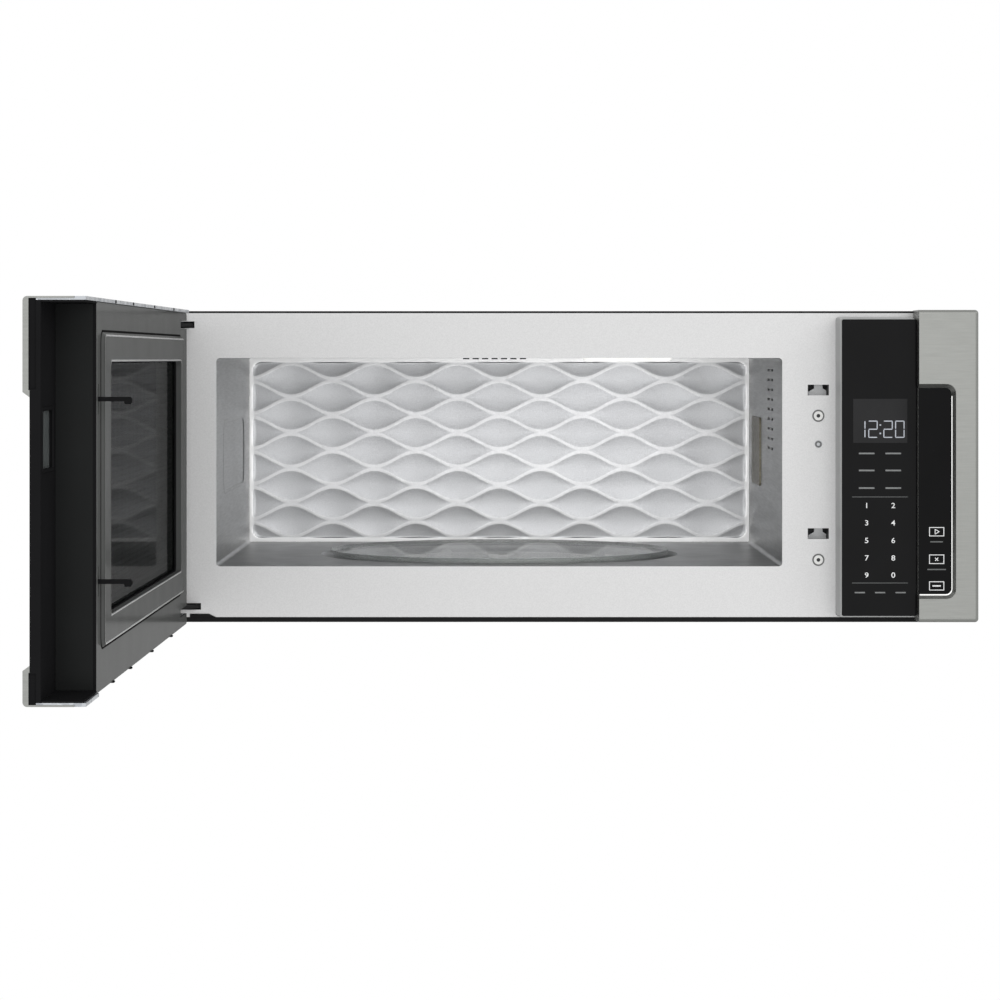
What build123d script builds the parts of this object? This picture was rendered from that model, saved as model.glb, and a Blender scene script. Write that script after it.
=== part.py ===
from build123d import *
from math import asin, cos, degrees, pi, radians, sin
import os

# Over the range microwave with a hood, built as the real one is: sheet metal cabinet, cooking cavity,
# side-hinged door, turntable and blower. Millimetres. +X right, +Y back to the wall, +Z up.
# The origin is the centre of the rear face that lies on the wall. The front faces -Y.
# "Out" is a distance in front of the front frame, towards the cook.

os.makedirs("parts", exist_ok=True)

# ---------------------------------------------------------------- driving dimensions: the cabinet
unit_width = 759.0             # over the stainless trims, the 30 inch class
unit_height = 262.0            # low profile body
body_depth = 418.0             # wall face to the front frame
sheet = 1.0                    # cabinet steel
back_sheet = 1.2               # back panel and base pan
trim_reveal = 1.5              # how far the trims stand out beyond the folded wrap
frame_top_line = 1.7           # black edge of the wrap above the front frame
base_lip_height = 4.2          # black lip of the base pan below the front frame

# the cooking cavity
cavity_left_bay = 120.9        # side of the wrap to the cavity, the blower's bay
cavity_floor_rise = 46.9       # underside of the unit to the cavity floor
cavity_roof_room = 39.5        # cavity ceiling to the top of the unit, for lamp and duct
cavity_rear_room = 46.0        # cavity to the wall
cavity_corner = 3.0
mouth_flange = 12.0            # flange of the cavity behind the front frame
well_margin = 8.5              # round well that holds the roller ring, beyond the tray
well_depth = 11.15
well_draft = 5.0
emboss_depth = 2.0             # rounded pressing in the left wall
slot_pitch = 8.6               # rows of vent slots in the right wall
ceiling_hole = 3.0             # perforations in the ceiling

# the pressed back wall
back_wall_margin = 0.25
back_wall_corner = 2.75
back_rim_width = 3.6
back_field_corner = 8.0
wave_periods = 6
wave_rows = 10
wave_amplitude = 6.95
wave_steps = 6                 # straight runs in each period of a land
land_height = 3.4              # flat land between two pressed pans
land_merge = 0.4               # outermost lands into the rim
pan_depth = 2.2

# turntable
tray_radius = 151.5
tray_thickness = 3.5
tray_rim_rise = 5.2
roller_radius = 5.0
roller_width = 6.0
roller_track = 98.0
roller_count = 3
axle_radius = 1.25
running_clearance = 0.05       # every shaft in its bore
rolling_gap = 0.2              # roller to the tray above and to the well below

# the door
door_overhang = 0.5            # the door beyond the body above and below
door_thickness = 41.0
door_gap = 1.5                 # raised inner panel to the front frame
door_side_gap = 3.0            # left column to the door
door_end_gap = 1.7             # free end of the door to the right trim
thin_thickness = 11.6          # the free end that lies over the controls
step_gap = 2.8                 # thick part of the door to the controls
skin = 1.2                     # stainless sheet of the door and the trims
skin_wrap = 33.0               # how far the skin wraps back over the edges
top_band = 61.5                # stainless above the black glass
bottom_rail = 23.0
left_stile = 19.0
recess_depth = 4.5             # black glass behind the stainless face
roll_width = 3.4               # rolled slope from the face down to the glass
recess_corner = 8.0
glass_thickness = 4.0
door_open_angle = 90.5

# hinges, each a plate through a slot in the front frame
pin_behind_face = 6.0          # door outer face to the pin axis
pin_from_left = 11.0           # door left edge to the pin axis
pin_radius = 2.0
hinge_plate = 3.0
hinge_eye = 4.4
upper_hinge_inset = 11.5       # hinge plates from the top and the bottom of the unit
lower_hinge_inset = 13.15
bush_wall = 1.5
bush_flange = 1.4
bush_gap = 0.1                 # bush flange to the hinge plate
bush_shoulder = 0.9
lug_height = 5.0

# latch
latch_inset = 14.5             # latch to the controls
upper_hook_drop = 66.5         # hooks from the top and the bottom of the unit
lower_hook_rise = 74.5
hook_reach = 20.0
hook_height = 3.0
hook_width = 3.0
barb_drop = 1.8
barb_length = 5.0
barb_bevel = 1.2
latch_travel = 2.5
latch_slot_width = 17.8
latch_slot_play = 1.75         # slot beyond the hook, below it and above its highest place

# control panel and fixed trims
bezel_width = 65.2             # left edge of the controls to the right trim
bezel_gap = 2.9                # controls to the thin end of the door
latch_stile = 44.9             # front frame between the cavity and the controls
bezel_wall = 2.0
bezel_draft = 1.5
bezel_inset_z = 4.8            # below the top and above the bottom of the body
trim_width = 49.5
trim_foot_rise = 3.0           # trims above the underside of the unit
touch_width = 30.6             # open recess in the right trim
column_width = 53.5
seat_gap = 0.1                 # parts that are set into one another

# hood side
exhaust_width = 254.0          # the 3 1/4 by 10 inch outlet
exhaust_depth = 83.0
exhaust_from_wall = 17.0
filter_width = 180.0
filter_length = 150.0
filter_thickness = 8.0
filter_centre_x = 165.0
filter_front = 120.0           # front frame to the filter openings
lamp_width = 90.0
lamp_length = 32.0
wheel_radius = 48.0
wheel_width = 48.0
blade_count = 20
fan_radius = 36.0
fan_blades = 5

# cabinet sheets: the smaller sizes
bolt_x = 170.0
bolt_y = -250.0
bolt_clear_radius = 4.5
nut_bore = 3.175               # quarter inch bolts from the wall cabinet above
nut_height = 10.0
nut_radius = 9.0
nut_plate_width = 40.0
nut_plate_depth = 24.0
nut_plate_sheet = 2.0
hang_slot_x = 220.0
hang_slot_rise = 19.0
hang_slot_width = 40.0
hang_slot_height = 7.0
lamp_front = 48.0              # front frame to the cooktop lamps
pan_flange = 12.0              # side flanges of the base pan
pan_corner = 5.0
intake_from_side = 38.0
intake_length = 50.0
intake_width = 3.5
intake_front = 60.0            # front frame to the first intake slot
filter_ledge = 6.0             # the filter rests on this much of the base pan all round
lens_ledge = 3.0
intake_pitch = 12.0
intake_slots = 8
hinge_slot_height = 5.6
hinge_slot_inset = 12.0        # hinge pin to the left end of the slots
upper_slot_width = 24.5
lower_slot_width = 30.0

# cooking cavity: the smaller sizes
wall = 1.0
emboss_front = 75.0            # front frame to the pressing
emboss_length = 230.0
emboss_rise = 59.1             # cavity floor to the pressing
emboss_height = 61.0
emboss_corner = 14.0
aperture_behind = 60.0         # wave opening from the cavity's back wall
aperture_length = 74.0
aperture_rise = 68.1
aperture_height = 44.0
cover_lap = 9.0                # mica plate beyond its opening
cover_thickness = 1.5
vent_slot_rows = 9
vent_slot_columns = 2
vent_slot_front = 96.0
vent_slot_length = 24.0
vent_slot_gap = 12.0
vent_slot_height = 2.2
vent_slot_drop = 10.7          # ceiling to the top row
lamp_hole_inset = 93.9         # right wall of the cavity to the lamp opening
lamp_hole_width = 68.0
lamp_hole_front = 60.0
lamp_hole_length = 36.0
ceiling_rows = 2
ceiling_columns = 7
ceiling_pitch = 8.0
ceiling_left = 30.0            # first perforation left of the cavity's middle
ceiling_sides = 6
shaft_hole = 6.0
back_plate = 0.8

# turntable: the smaller sizes
coupler_radius = 13.0
coupler_lobe = 4.0
coupler_shaft = 4.0
coupler_shaft_length = 12.0
tray_rim_width = 7.0
tray_lip = 2.6                 # flat top of the rim
rim_bevel = 1.8
coupler_gap = 0.4              # hub above the well's floor
ear_span = 66.0                # turntable motor over its ears
ear_width = 16.0
ring_inner = 84.0
ring_outer = 91.0
ring_half_height = 2.2
ring_hub_inner = 18.5
ring_hub_wall = 4.0
spoke_width = 6.0
stub_reach = 2.0               # axle beyond the roller
stub_cap = 1.9
motor_radius = 24.0
motor_height = 14.5

# door: the smaller sizes
edge_radius = 3.0              # bend of the stainless sheet
end_hem = 3.8                  # return of the skin over the door's free end
open_run = 60.0                # outlines that are open at one side run past it
lip_height = 2.4               # steel hem on the top and bottom edge, inside the skin's wrap
liner = 3.0                    # black plastic back of the thin end
liner_step = 1.7
raised_lap = 17.5              # raised panel beyond the oven mouth
window_inset_x = 3.5
window_inset_right = 16.0
window_inset_z = 2.5
pocket_half_height = 3.6       # room for a hinge plate inside the door
pocket_reach = 39.0            # hinge pockets beyond the pin
glass_lap = 1.8                # glass under the rolled edge
lug_reach = 4.6                # lugs beyond the pin
lug_depth = 8.0                # lug behind the pin axis
liner_end = 1.2
chassis = 1.2
cover_rise = 1.5               # inner cover above the door's lower edge
hem_rise = 2.0                 # steel hem beyond the cover's plane
bar_width = 12.0
bar_thickness = 3.0
bar_reach = 19.5               # bar beyond each hook
guide_gap = 0.3
guide_wall = 1.5
hook_slot = 4.4
hook_slot_height = 20.0
cover_top_gap = 0.4
cover_corner = 3.0
raised_corner = 8.0
raised_bevel = 2.0
window_corner = 5.0
inner_glass_lap = 7.0
inner_glass_thickness = 3.0
screen_thickness = 0.6
display_inset = 12.0           # left edge of the controls to the display
display_drop = 73.6            # top of the unit to the display
display_width = 45.1
display_height = 36.8
liner_floor = 1.2              # liner over the hems of the thin end
lip_shown = 1.5                # steel lip left bare beyond the liner
display_play = 1.0
pane_thickness = 1.0
hinge_tail = 24.0              # plate behind the front frame
slot_play_left = 3.0
slot_play_right = 1.5
hinge_flange_left = 14.0
hinge_flange_right = 2.0
hinge_flange_height = 12.0
hinge_flange_sheet = 2.0
spring_radius = 4.5
spring_wire = 0.8
spring_turns = 5

# fixed trims and controls: the smaller sizes
bezel_side_gap = 0.3
bezel_corner = 3.0
bezel_lip = 1.0                # bezel round the control glass
control_corner = 1.5
control_glass_thickness = 3.0
control_glass_proud = 0.3
module_depth = 10.0
module_frame = 2.0
board_thickness = 1.6
board_side_gap = 8.0           # board inside the bezel
board_end_gap = 26.2
board_post = 5.0
upper_bumper_drop = 21.7       # buttons and screw below the hooks
lower_bumper_drop = 22.1
frame_screw_drop = 45.6
bumper_radius = 5.15
bumper_stem = 2.5
bumper_height = 1.4
bumper_tail = 4.0
bumper_bevel = 0.5
bumper_dimple = 1.6
dimple_depth = 0.7
screw_shank = 1.6
screw_length = 10.0
latch_block_width = 26.0
latch_block_depth = 32.0
latch_block_reach = 27.5       # holder beyond each hook
latch_room = 26.0
latch_room_play = 1.0
switch_thickness = 10.0
switch_length = 28.0
switch_height = 16.0
switch_offset = 8.0            # upper switches above and below their hook
switch_button = 3.0
lamp_cover_lap = 4.0
lamp_cover_thickness = 1.2
lamp_box_lap = 3.0
lamp_box_wall = 1.5
lamp_box_room = 6.0            # lamp housing below the top sheet
bulb_radius = 8.0
bulb_length = 42.0
bulb_rise = 14.0

# hood side: the smaller sizes
wheel_clear = 4.0              # wheel to the narrow start of the spiral
wheel_inset = 8.0              # wheel inside the housing's left side
motor_gap = 2.0                # wheel to the motor
motor_sink = 22.0              # motor inside the housing
motor_length = 36.0
vent_motor_radius = 27.0
motor_bevel = 3.0
motor_arm = 9.0
motor_arm_sheet = 3.0
scroll_side_gap = 9.0          # side sheet to the blower housing
scroll_wall_gap = 6.0          # spiral to the wall
scroll_sheet = 1.2
scroll_growth = 8.0            # the spiral's radius grows so much each quarter turn
outlet_inner = -9.0
inlet_lap = 10.0               # inlet inside the wheel's rim
motor_shaft = 4.0
foot_span = 80.0
foot_height = 10.0
foot_width = 16.0
duct_side_gap = 5.0
duct_wall_gap = 12.0
duct_end = 8.0                 # duct beyond the outlet
scroll_z = 0.0
wheel_ring = 2.0
wheel_hub_radius = 9.0
wheel_hub_length = 12.0
blade_root = 0.6               # blades end this far inside the rings' edges
blade_depth = 10.0
blade_thickness = 0.9
blade_bend = 1.8
flap_pin = 1.5
flap_pin_inset = 3.0           # flap's pin in front of the outlet's rear edge
flap_pin_drop = 2.6
flap_thickness = 1.2
flap_side_gap = 2.0
ear_thickness = 3.0
ear_gap = 0.5                  # ears beyond the outlet
ear_depth = 9.0
ear_drop = 4.0
outlet_corner = 3.0
spiral_play = 0.5
filter_frame = 9.0
filter_fold = 2.0              # mesh below the folded frame's faces
lens_lift = 2.0
lens_play = 0.3
lens_corner = 4.0
lens_recess = 0.2              # lens above the pan's underside
lamp_cover_height = 12.0
lamp_cover_wall = 1.5
emitter_length = 60.0
emitter_width = 8.0
emitter_height = 2.5

# power side: the smaller sizes
wave_guide_width = 40.0
wave_guide_lap = 6.0           # tube beyond the opening in the wall
wave_guide_end = 20.0          # tube behind the cavity
guide_sheet = 1.2
antenna_radius = 8.0
antenna_length = 22.0
antenna_play = 1.0
magnetron_inset = 18.0         # antenna in front of the cavity's back
yoke_length = 62.0
yoke_depth = 74.0
yoke_height = 64.0
yoke_sheet = 2.0
core_radius = 16.0
magnet_radius = 25.0
magnet_height = 12.0
fin_count = 3
fin_pitch = 9.0
fin_sheet = 0.8
fin_height = 56.0
filter_box_length = 22.0
filter_box_depth = 56.0
filter_box_height = 44.0
transformer_side_gap = 22.0    # side of the wrap to the transformer
transformer_front = 46.0       # front frame to the transformer
transformer_width = 82.0
transformer_length = 86.0
transformer_height = 66.0
core_side = 14.0               # laminated core inside the windings' width
core_end = 6.0
transformer_foot = 3.0
winding_length = 12.0
winding_rise = 16.0
winding_height = 36.0
winding_corner = 8.0
winding_gap = 19.0
capacitor_side_gap = 28.0
capacitor_width = 68.0
capacitor_length = 34.0
capacitor_height = 84.0
capacitor_gap = 12.0           # transformer to capacitor
tab_pitch = 32.0
tab_width = 6.0
tab_height = 10.0
tab_sheet = 1.0
shroud = 2.0
shroud_half = 48.0
shroud_gap = 3.1               # wave tube to the fan's plate
shroud_ring = 4.0              # ring beyond the blades, of which half is clearance
shroud_depth = 14.0
fan_behind = 122.0             # fan's plate from the cavity's back
fan_motor_radius = 18.0
fan_motor_y = (-44.0, -20.0)   # the motor, from the plate
fan_shaft = 2.0
fan_arm = 4.0
fan_arm_sheet = 3.0
hub_y = (-12.0, -1.0)
hub_radius = 9.0
fan_blade_chord = 20.0
fan_blade_sheet = 1.4
fan_blade_pitch = 28.0
fan_tip_gap = 1.0
side_screw_drop = 21.0         # side screws below the top of the unit
side_screw_ends = 49.0         # and from the front frame and the wall
side_screw_radius = 4.0
pan_head_radius = 3.1
pan_head_height = 0.8
drive_depth = 0.5

# ---------------------------------------------------------------- sizes that follow
half_height = unit_height / 2
half_width = unit_width / 2
half_wrap = half_width - trim_reveal
front_y = -body_depth
trim_left_x = half_width - trim_width
column_right_x = -half_width + column_width
bezel_left_x = trim_left_x - bezel_width
floor_z = -half_height + cavity_floor_rise
ceiling_z = half_height - cavity_roof_room
cavity_x = (-half_wrap + cavity_left_bay, bezel_left_x - latch_stile)
cavity_centre_x = sum(cavity_x) / 2
cavity_mouth_y = front_y + sheet
cavity_back_y = -cavity_rear_room
well_radius = tray_radius + well_margin
well_floor_z = floor_z - well_depth
turntable_y = (front_y + cavity_back_y) / 2
roller_z = well_floor_z + rolling_gap + roller_radius
tray_under_z = roller_z + roller_radius + rolling_gap
face_out = door_gap + door_thickness
glass_out = face_out - recess_depth
glass_back_out = glass_out - glass_thickness
thin_back_out = face_out - thin_thickness
bezel_out = thin_back_out - bezel_gap
door_x = (column_right_x + door_side_gap, trim_left_x - door_end_gap)
door_z = (-half_height - door_overhang, half_height + door_overhang)
step_x = bezel_left_x - step_gap
pin_x = door_x[0] + pin_from_left
pin_out = face_out - pin_behind_face
pin_y = front_y - pin_out
glass_z = (door_z[0] + bottom_rail, door_z[1] - top_band)
trim_z = (-half_height + trim_foot_rise, door_z[1])
upper_hinge_z = half_height - upper_hinge_inset
lower_hinge_z = -half_height + lower_hinge_inset
latch_x = bezel_left_x - latch_inset
upper_hook_z = half_height - upper_hook_drop
lower_hook_z = -half_height + lower_hook_rise
latch_slot_height = hook_height + latch_travel + 2 * latch_slot_play


def block(x, y, z):
    """A box between three pairs of low and high values."""
    size = Box(x[1] - x[0], y[1] - y[0], z[1] - z[0])
    return Pos((x[0] + x[1]) / 2, (y[0] + y[1]) / 2, (z[0] + z[1]) / 2) * size


def out(low, high):
    """The Y pair of a layer that lies from low to high in front of the front frame."""
    return (front_y - high, front_y - low)


def around(centre, size):
    """The low and high values of a size about its centre."""
    return (centre - size / 2, centre + size / 2)


def grown(pair, by):
    """A pair of low and high values, moved apart by the same amount at both ends."""
    return (pair[0] - by, pair[1] + by)


def rounded(x, y, z, radius):
    """A box whose four edges along Y are round, for openings and plates that face the front."""
    return fillet(block(x, y, z).edges().filter_by(Axis.Y), radius)


def rounded_flat(x, y, z, radius):
    """A box whose four upright edges are round."""
    return fillet(block(x, y, z).edges().filter_by(Axis.Z), radius)


def folded(x, y, z, radius, open_side):
    """A box with bent edges in front, above and below, cut flat behind and at one side."""
    reach = 2 * radius
    wide = (x[0], x[1] + reach) if open_side > 0 else (x[0] - reach, x[1])
    shell = block(wide, (y[0], y[1] + reach), z)
    return fillet(shell.edges(), radius) & block(x, y, z)


def rod_x(x, y, z, radius):
    """A cylinder along X."""
    return Pos((x[0] + x[1]) / 2, y, z) * Rot(Y=90) * Cylinder(radius, x[1] - x[0])


def rod_y(x, y, z, radius):
    """A cylinder along Y."""
    return Pos(x, (y[0] + y[1]) / 2, z) * Rot(X=90) * Cylinder(radius, y[1] - y[0])


def rod_z(x, y, z, radius):
    """A cylinder along Z."""
    return Pos(x, y, (z[0] + z[1]) / 2) * Cylinder(radius, z[1] - z[0])


def opened(shape):
    """A door piece, drawn closed, turned about the hinge pins to the open rest pose."""
    hinge = Location((pin_x, pin_y, 0))
    return hinge * Rot(Z=-door_open_angle) * hinge.inverse() * shape


def save(node, shape):
    """Write one named piece."""
    shape.label = node
    export_step(shape, f"parts/{node}.step")


# ---------------------------------------------------------------- cabinet sheets
exhaust_x = around(0, exhaust_width)
exhaust_y = (-exhaust_from_wall - exhaust_depth, -exhaust_from_wall)


def make_outer_wrap():
    """Folded sheet: top and both sides, with the front hem that shows as a black line."""
    y = (front_y, -back_sheet)
    wrap = block(around(0, 2 * half_wrap), y, around(0, unit_height))
    wrap -= block(around(0, 2 * (half_wrap - sheet)), y, (-half_height, half_height - sheet))
    hem_z = (half_height - frame_top_line, half_height - sheet)
    wrap += block(around(0, 2 * (half_wrap - sheet)), (front_y, front_y + sheet), hem_z)
    wrap -= rounded_flat(exhaust_x, exhaust_y, (half_height - 2 * sheet, half_height + sheet), outlet_corner)
    for x in (-bolt_x, bolt_x):
        wrap -= rod_z(x, bolt_y, (half_height - 2 * sheet, half_height + sheet), bolt_clear_radius)
    return wrap


def make_back_panel():
    """Rear sheet on the wall, with the two slots that hang on the wall plate."""
    z = (-half_height + back_sheet, half_height - sheet)
    panel = block(around(0, 2 * (half_wrap - sheet)), (-back_sheet, 0), z)
    slot_z = around(-half_height + hang_slot_rise, hang_slot_height)
    for x in (-hang_slot_x, hang_slot_x):
        panel -= block(around(x, hang_slot_width), (-2 * back_sheet, back_sheet), slot_z)
    return panel


filter_y = (front_y + filter_front, front_y + filter_front + filter_length)
lamp_y = (front_y + lamp_front, front_y + lamp_front + lamp_length)


def filter_spans():
    """The X span of each grease filter."""
    return [around(side * filter_centre_x, filter_width) for side in (-1, 1)]


def lamp_spans():
    """The X span of each cooktop lamp lens."""
    return [around(side * filter_centre_x, lamp_width) for side in (-1, 1)]


def make_base_pan():
    """Black sheet below: front lip, side flanges, filter and lamp openings and the intake slots."""
    width = around(0, 2 * (half_wrap - sheet))
    low = -half_height
    floor = (low, low + back_sheet)
    pan = block(width, (front_y, -back_sheet), floor)
    pan += block(width, (front_y, front_y + back_sheet), (low, low + base_lip_height))
    flange_y = (front_y + sheet + back_sheet, -back_sheet)
    for x in (width[0], width[1] - back_sheet):
        pan += block((x, x + back_sheet), flange_y, (low, low + pan_flange))
    through = grown(floor, 1)
    for x in filter_spans():
        pan -= rounded_flat(grown(x, -filter_ledge), grown(filter_y, -filter_ledge), through, pan_corner)
    for x in lamp_spans():
        pan -= rounded_flat(grown(x, -lens_ledge), grown(lamp_y, -lens_ledge), through, pan_corner)
    for row in range(intake_slots):
        y = around(front_y + intake_front + row * intake_pitch, intake_width)
        pan -= block((half_wrap - intake_from_side - intake_length, half_wrap - intake_from_side), y, through)
    return pan


hinge_slot_left = pin_x + hinge_slot_inset
upper_hinge_slot_right = hinge_slot_left + upper_slot_width
lower_hinge_slot_right = hinge_slot_left + lower_slot_width
frame_z = (-half_height + base_lip_height, half_height - frame_top_line)


def make_front_frame():
    """Light grey front sheet: oven mouth, latch slots, hinge slots and button holes."""
    plate_y = (front_y, front_y + sheet)
    through = grown(plate_y, 1)
    frame = block(around(0, 2 * (half_wrap - sheet)), plate_y, frame_z)
    frame -= rounded(cavity_x, through, (floor_z, ceiling_z), cavity_corner)
    for z in (upper_hook_z, lower_hook_z):
        x = around(latch_x, latch_slot_width)
        frame -= block(x, through, around(z, latch_slot_height))
    for right, z in ((upper_hinge_slot_right, upper_hinge_z), (lower_hinge_slot_right, lower_hinge_z)):
        frame -= block((hinge_slot_left, right), through, around(z, hinge_slot_height))
    for z in bumper_z:
        frame -= rod_y(latch_x, through, z, bumper_stem + seat_gap)
    frame -= rod_y(latch_x, through, frame_screw_z, screw_shank)
    return frame


# ---------------------------------------------------------------- cooking cavity
emboss_y = (front_y + emboss_front, front_y + emboss_front + emboss_length)
emboss_z = (floor_z + emboss_rise, floor_z + emboss_rise + emboss_height)
aperture_y = (cavity_back_y - aperture_behind - aperture_length, cavity_back_y - aperture_behind)
aperture_z = (floor_z + aperture_rise, floor_z + aperture_rise + aperture_height)
lamp_hole_x = (cavity_x[1] - lamp_hole_inset - lamp_hole_width, cavity_x[1] - lamp_hole_inset)
lamp_hole_y = (front_y + lamp_hole_front, front_y + lamp_hole_front + lamp_hole_length)


def well_dish(by, top):
    """The dished round well of the floor as a solid: by is its sheet, and top where it ends above."""
    outer = well_radius + by
    depth = well_floor_z - by
    profile = Polyline((0, top), (0, depth), (outer - well_draft, depth), (outer, floor_z - by), (outer, top),
                       close=True)
    return Pos(cavity_centre_x, turntable_y, 0) * revolve(make_face(Plane.XZ * profile), Axis.Z)


def make_oven_cavity():
    """Five-sided box: mouth flange, well, left pressing, right vent slots and aperture, ceiling holes."""
    y = (cavity_mouth_y, cavity_back_y)
    z = (floor_z, ceiling_z)
    inner = rounded(cavity_x, (cavity_mouth_y - 1, cavity_back_y), z, cavity_corner)
    box = rounded(grown(cavity_x, wall), (y[0], y[1] + wall), grown(z, wall), cavity_corner + wall)
    flange = block(grown(cavity_x, mouth_flange), (y[0], y[0] + wall), grown(z, mouth_flange))
    pressing = fillet(block((cavity_x[0] - emboss_depth, cavity_x[0] + 1), emboss_y, emboss_z).edges()
                      .filter_by(Axis.X), emboss_corner)
    backing = fillet(block((cavity_x[0] - emboss_depth - wall, cavity_x[0]), grown(emboss_y, wall),
                           grown(emboss_z, wall)).edges().filter_by(Axis.X), emboss_corner + wall)
    box = box + flange + backing + well_dish(wall, floor_z - wall / 2) - inner - pressing
    box -= well_dish(0, floor_z + wall)
    right = (cavity_x[1] - 1, cavity_x[1] + wall + 1)
    box -= block(right, aperture_y, aperture_z)
    for column in range(vent_slot_columns):
        start = front_y + vent_slot_front + column * (vent_slot_length + vent_slot_gap)
        for row in range(vent_slot_rows):
            box -= block(right, (start, start + vent_slot_length),
                         around(ceiling_z - vent_slot_drop - row * slot_pitch, vent_slot_height))
    up = (ceiling_z - 1, ceiling_z + wall + 1)
    box -= block(lamp_hole_x, lamp_hole_y, up)
    hole = extrude(RegularPolygon(ceiling_hole / 2, ceiling_sides), up[1] - up[0])
    for column in range(ceiling_columns):
        for row in range(ceiling_rows):
            x = cavity_centre_x - ceiling_left + column * ceiling_pitch
            box -= Pos(x, front_y + lamp_hole_front + row * ceiling_pitch, up[0]) * hole
    box -= rod_z(cavity_centre_x, turntable_y, (well_floor_z - 2 * wall, well_floor_z + wall), shaft_hole)
    return box


def wave_land(level, phase, left, period):
    """One flat land that runs across the back wall as a wave, of straight runs along a cosine."""
    count = wave_periods * wave_steps
    turns = [step / wave_steps for step in range(count + 1)]
    middle = [(left + period * turn, level - phase * wave_amplitude * cos(2 * pi * turn)) for turn in turns]
    upper = [(x, z + land_height / 2) for x, z in middle]
    lower = [(x, z - land_height / 2) for x, z in reversed(middle)]
    return make_face(Polyline(*upper, *lower, close=True))


def make_cavity_back_panel():
    """Pressed back wall of the cavity: wavy lands between rows of eye-shaped pans, an ogee pattern."""
    x = grown(cavity_x, -back_wall_margin)
    z = grown((floor_z, ceiling_z), -back_wall_margin)
    face_y = cavity_back_y - back_plate
    high = (face_y - pan_depth, face_y)
    field_x = grown(x, -back_rim_width)
    field_z = grown(z, -back_rim_width)
    plate = rounded(x, (face_y - pan_depth, cavity_back_y), z, back_wall_corner)
    field = rounded(field_x, high, field_z, back_field_corner)
    period = (cavity_x[1] - cavity_x[0]) / wave_periods
    level_z = grown(field_z, land_merge - wave_amplitude - land_height / 2)
    pitch = (level_z[1] - level_z[0]) / (wave_rows - 1)
    front = Plane(origin=(0, face_y, 0), x_dir=(1, 0, 0), z_dir=(0, -1, 0))
    lands = [front * wave_land(level_z[0] + pitch * row, 1 if row % 2 else -1, cavity_x[0], period)
             for row in range(wave_rows)]
    for land in lands:
        field -= extrude(land, pan_depth)
    return plate - field


# ---------------------------------------------------------------- turntable


def make_turntable_tray():
    """Glass tray: flat base, raised rim with a rounded lip."""
    low = tray_under_z
    top = low + tray_thickness
    rim = low + tray_rim_rise
    inner = tray_radius - tray_rim_width
    foot = (tray_radius - rim_bevel, low)
    lip = (tray_radius - tray_lip, rim)
    profile = Polyline((0, low), foot, (tray_radius, low + rim_bevel), (tray_radius, rim), lip, (inner, top),
                       (0, top), close=True)
    tray = revolve(make_face(Plane.XZ * profile), Axis.Z)
    return Pos(cavity_centre_x, turntable_y, 0) * tray


def make_drive_coupler():
    """Three-lobed hub under the tray, with the shaft that goes down into the motor."""
    top = tray_under_z - seat_gap
    z = (well_floor_z + coupler_gap, top)
    hub = rod_z(0, 0, z, coupler_radius - coupler_lobe)
    for index in range(3):
        lobe = rod_z(coupler_radius - coupler_lobe, 0, z, coupler_lobe)
        hub += Rot(Z=120 * index) * lobe
    hub += rod_z(0, 0, (z[0] - coupler_shaft_length, z[0]), coupler_shaft)
    return Pos(cavity_centre_x, turntable_y, 0) * hub


def make_roller_ring():
    """Ring with a hub, three spokes and three stub axles."""
    z = around(roller_z, 2 * ring_half_height)
    ring = rod_z(0, 0, z, ring_outer) - rod_z(0, 0, grown(z, 1), ring_inner)
    hub_outer = ring_hub_inner + ring_hub_wall
    ring += rod_z(0, 0, z, hub_outer) - rod_z(0, 0, grown(z, 1), ring_hub_inner)
    reach = roller_track + roller_width / 2 + stub_reach
    for index in range(roller_count):
        spoke = block((ring_hub_inner + 1.5, ring_inner + 2), around(0, spoke_width), z)
        axle = rod_x((ring_outer - 1.5, reach), 0, roller_z, axle_radius)
        cap = rod_x((reach - 1.0, reach), 0, roller_z, stub_cap)
        ring += Rot(Z=360 / roller_count * index) * (spoke + axle + cap)
    return Pos(cavity_centre_x, turntable_y, 0) * ring


def make_roller(index):
    """One small wheel on its stub axle."""
    x = around(roller_track, roller_width)
    wheel = rod_x(x, 0, roller_z, roller_radius)
    wheel -= rod_x(grown(x, 1), 0, roller_z, axle_radius + running_clearance)
    return Pos(cavity_centre_x, turntable_y, 0) * Rot(Z=360 / roller_count * index) * wheel


def make_turntable_motor():
    """Flat gear motor under the well, with two ears."""
    top = well_floor_z - wall
    motor = rod_z(0, 0, (top - motor_height, top), motor_radius)
    motor += block(around(0, ear_span), around(0, ear_width), (top - sheet, top))
    motor -= rod_z(0, 0, (top - motor_height + 2, top + 1), coupler_shaft + running_clearance)
    return Pos(cavity_centre_x, turntable_y, 0) * motor


# ---------------------------------------------------------------- door, drawn closed
skin_back_out = face_out - skin_wrap
inner_base_out = door_gap + 2.5      # the choke cover's outer plane, behind its raised panel


def recess_prism(y, by, x_left, z, corner, x_right):
    """The outline of the black glass, open at one side, as a prism that runs past that side."""
    return rounded(grown((x_left, x_right), by), y, grown(z, by), corner + by)


def rolled_edge(x, z):
    """Sloped stainless edge from the face down to the black glass, as a ring."""
    y = out(glass_out, face_out)
    ring = recess_prism(y, skin, x[0], z, recess_corner, x[1])
    outline = Pos((x[0] + x[1]) / 2, front_y - face_out, (z[0] + z[1]) / 2) * Rot(X=-90) * \
        RectangleRounded(x[1] - x[0], z[1] - z[0], recess_corner)
    slope = degrees(asin(roll_width / (roll_width ** 2 + recess_depth ** 2) ** 0.5))
    return ring - extrude(outline, recess_depth, taper=slope)


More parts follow.
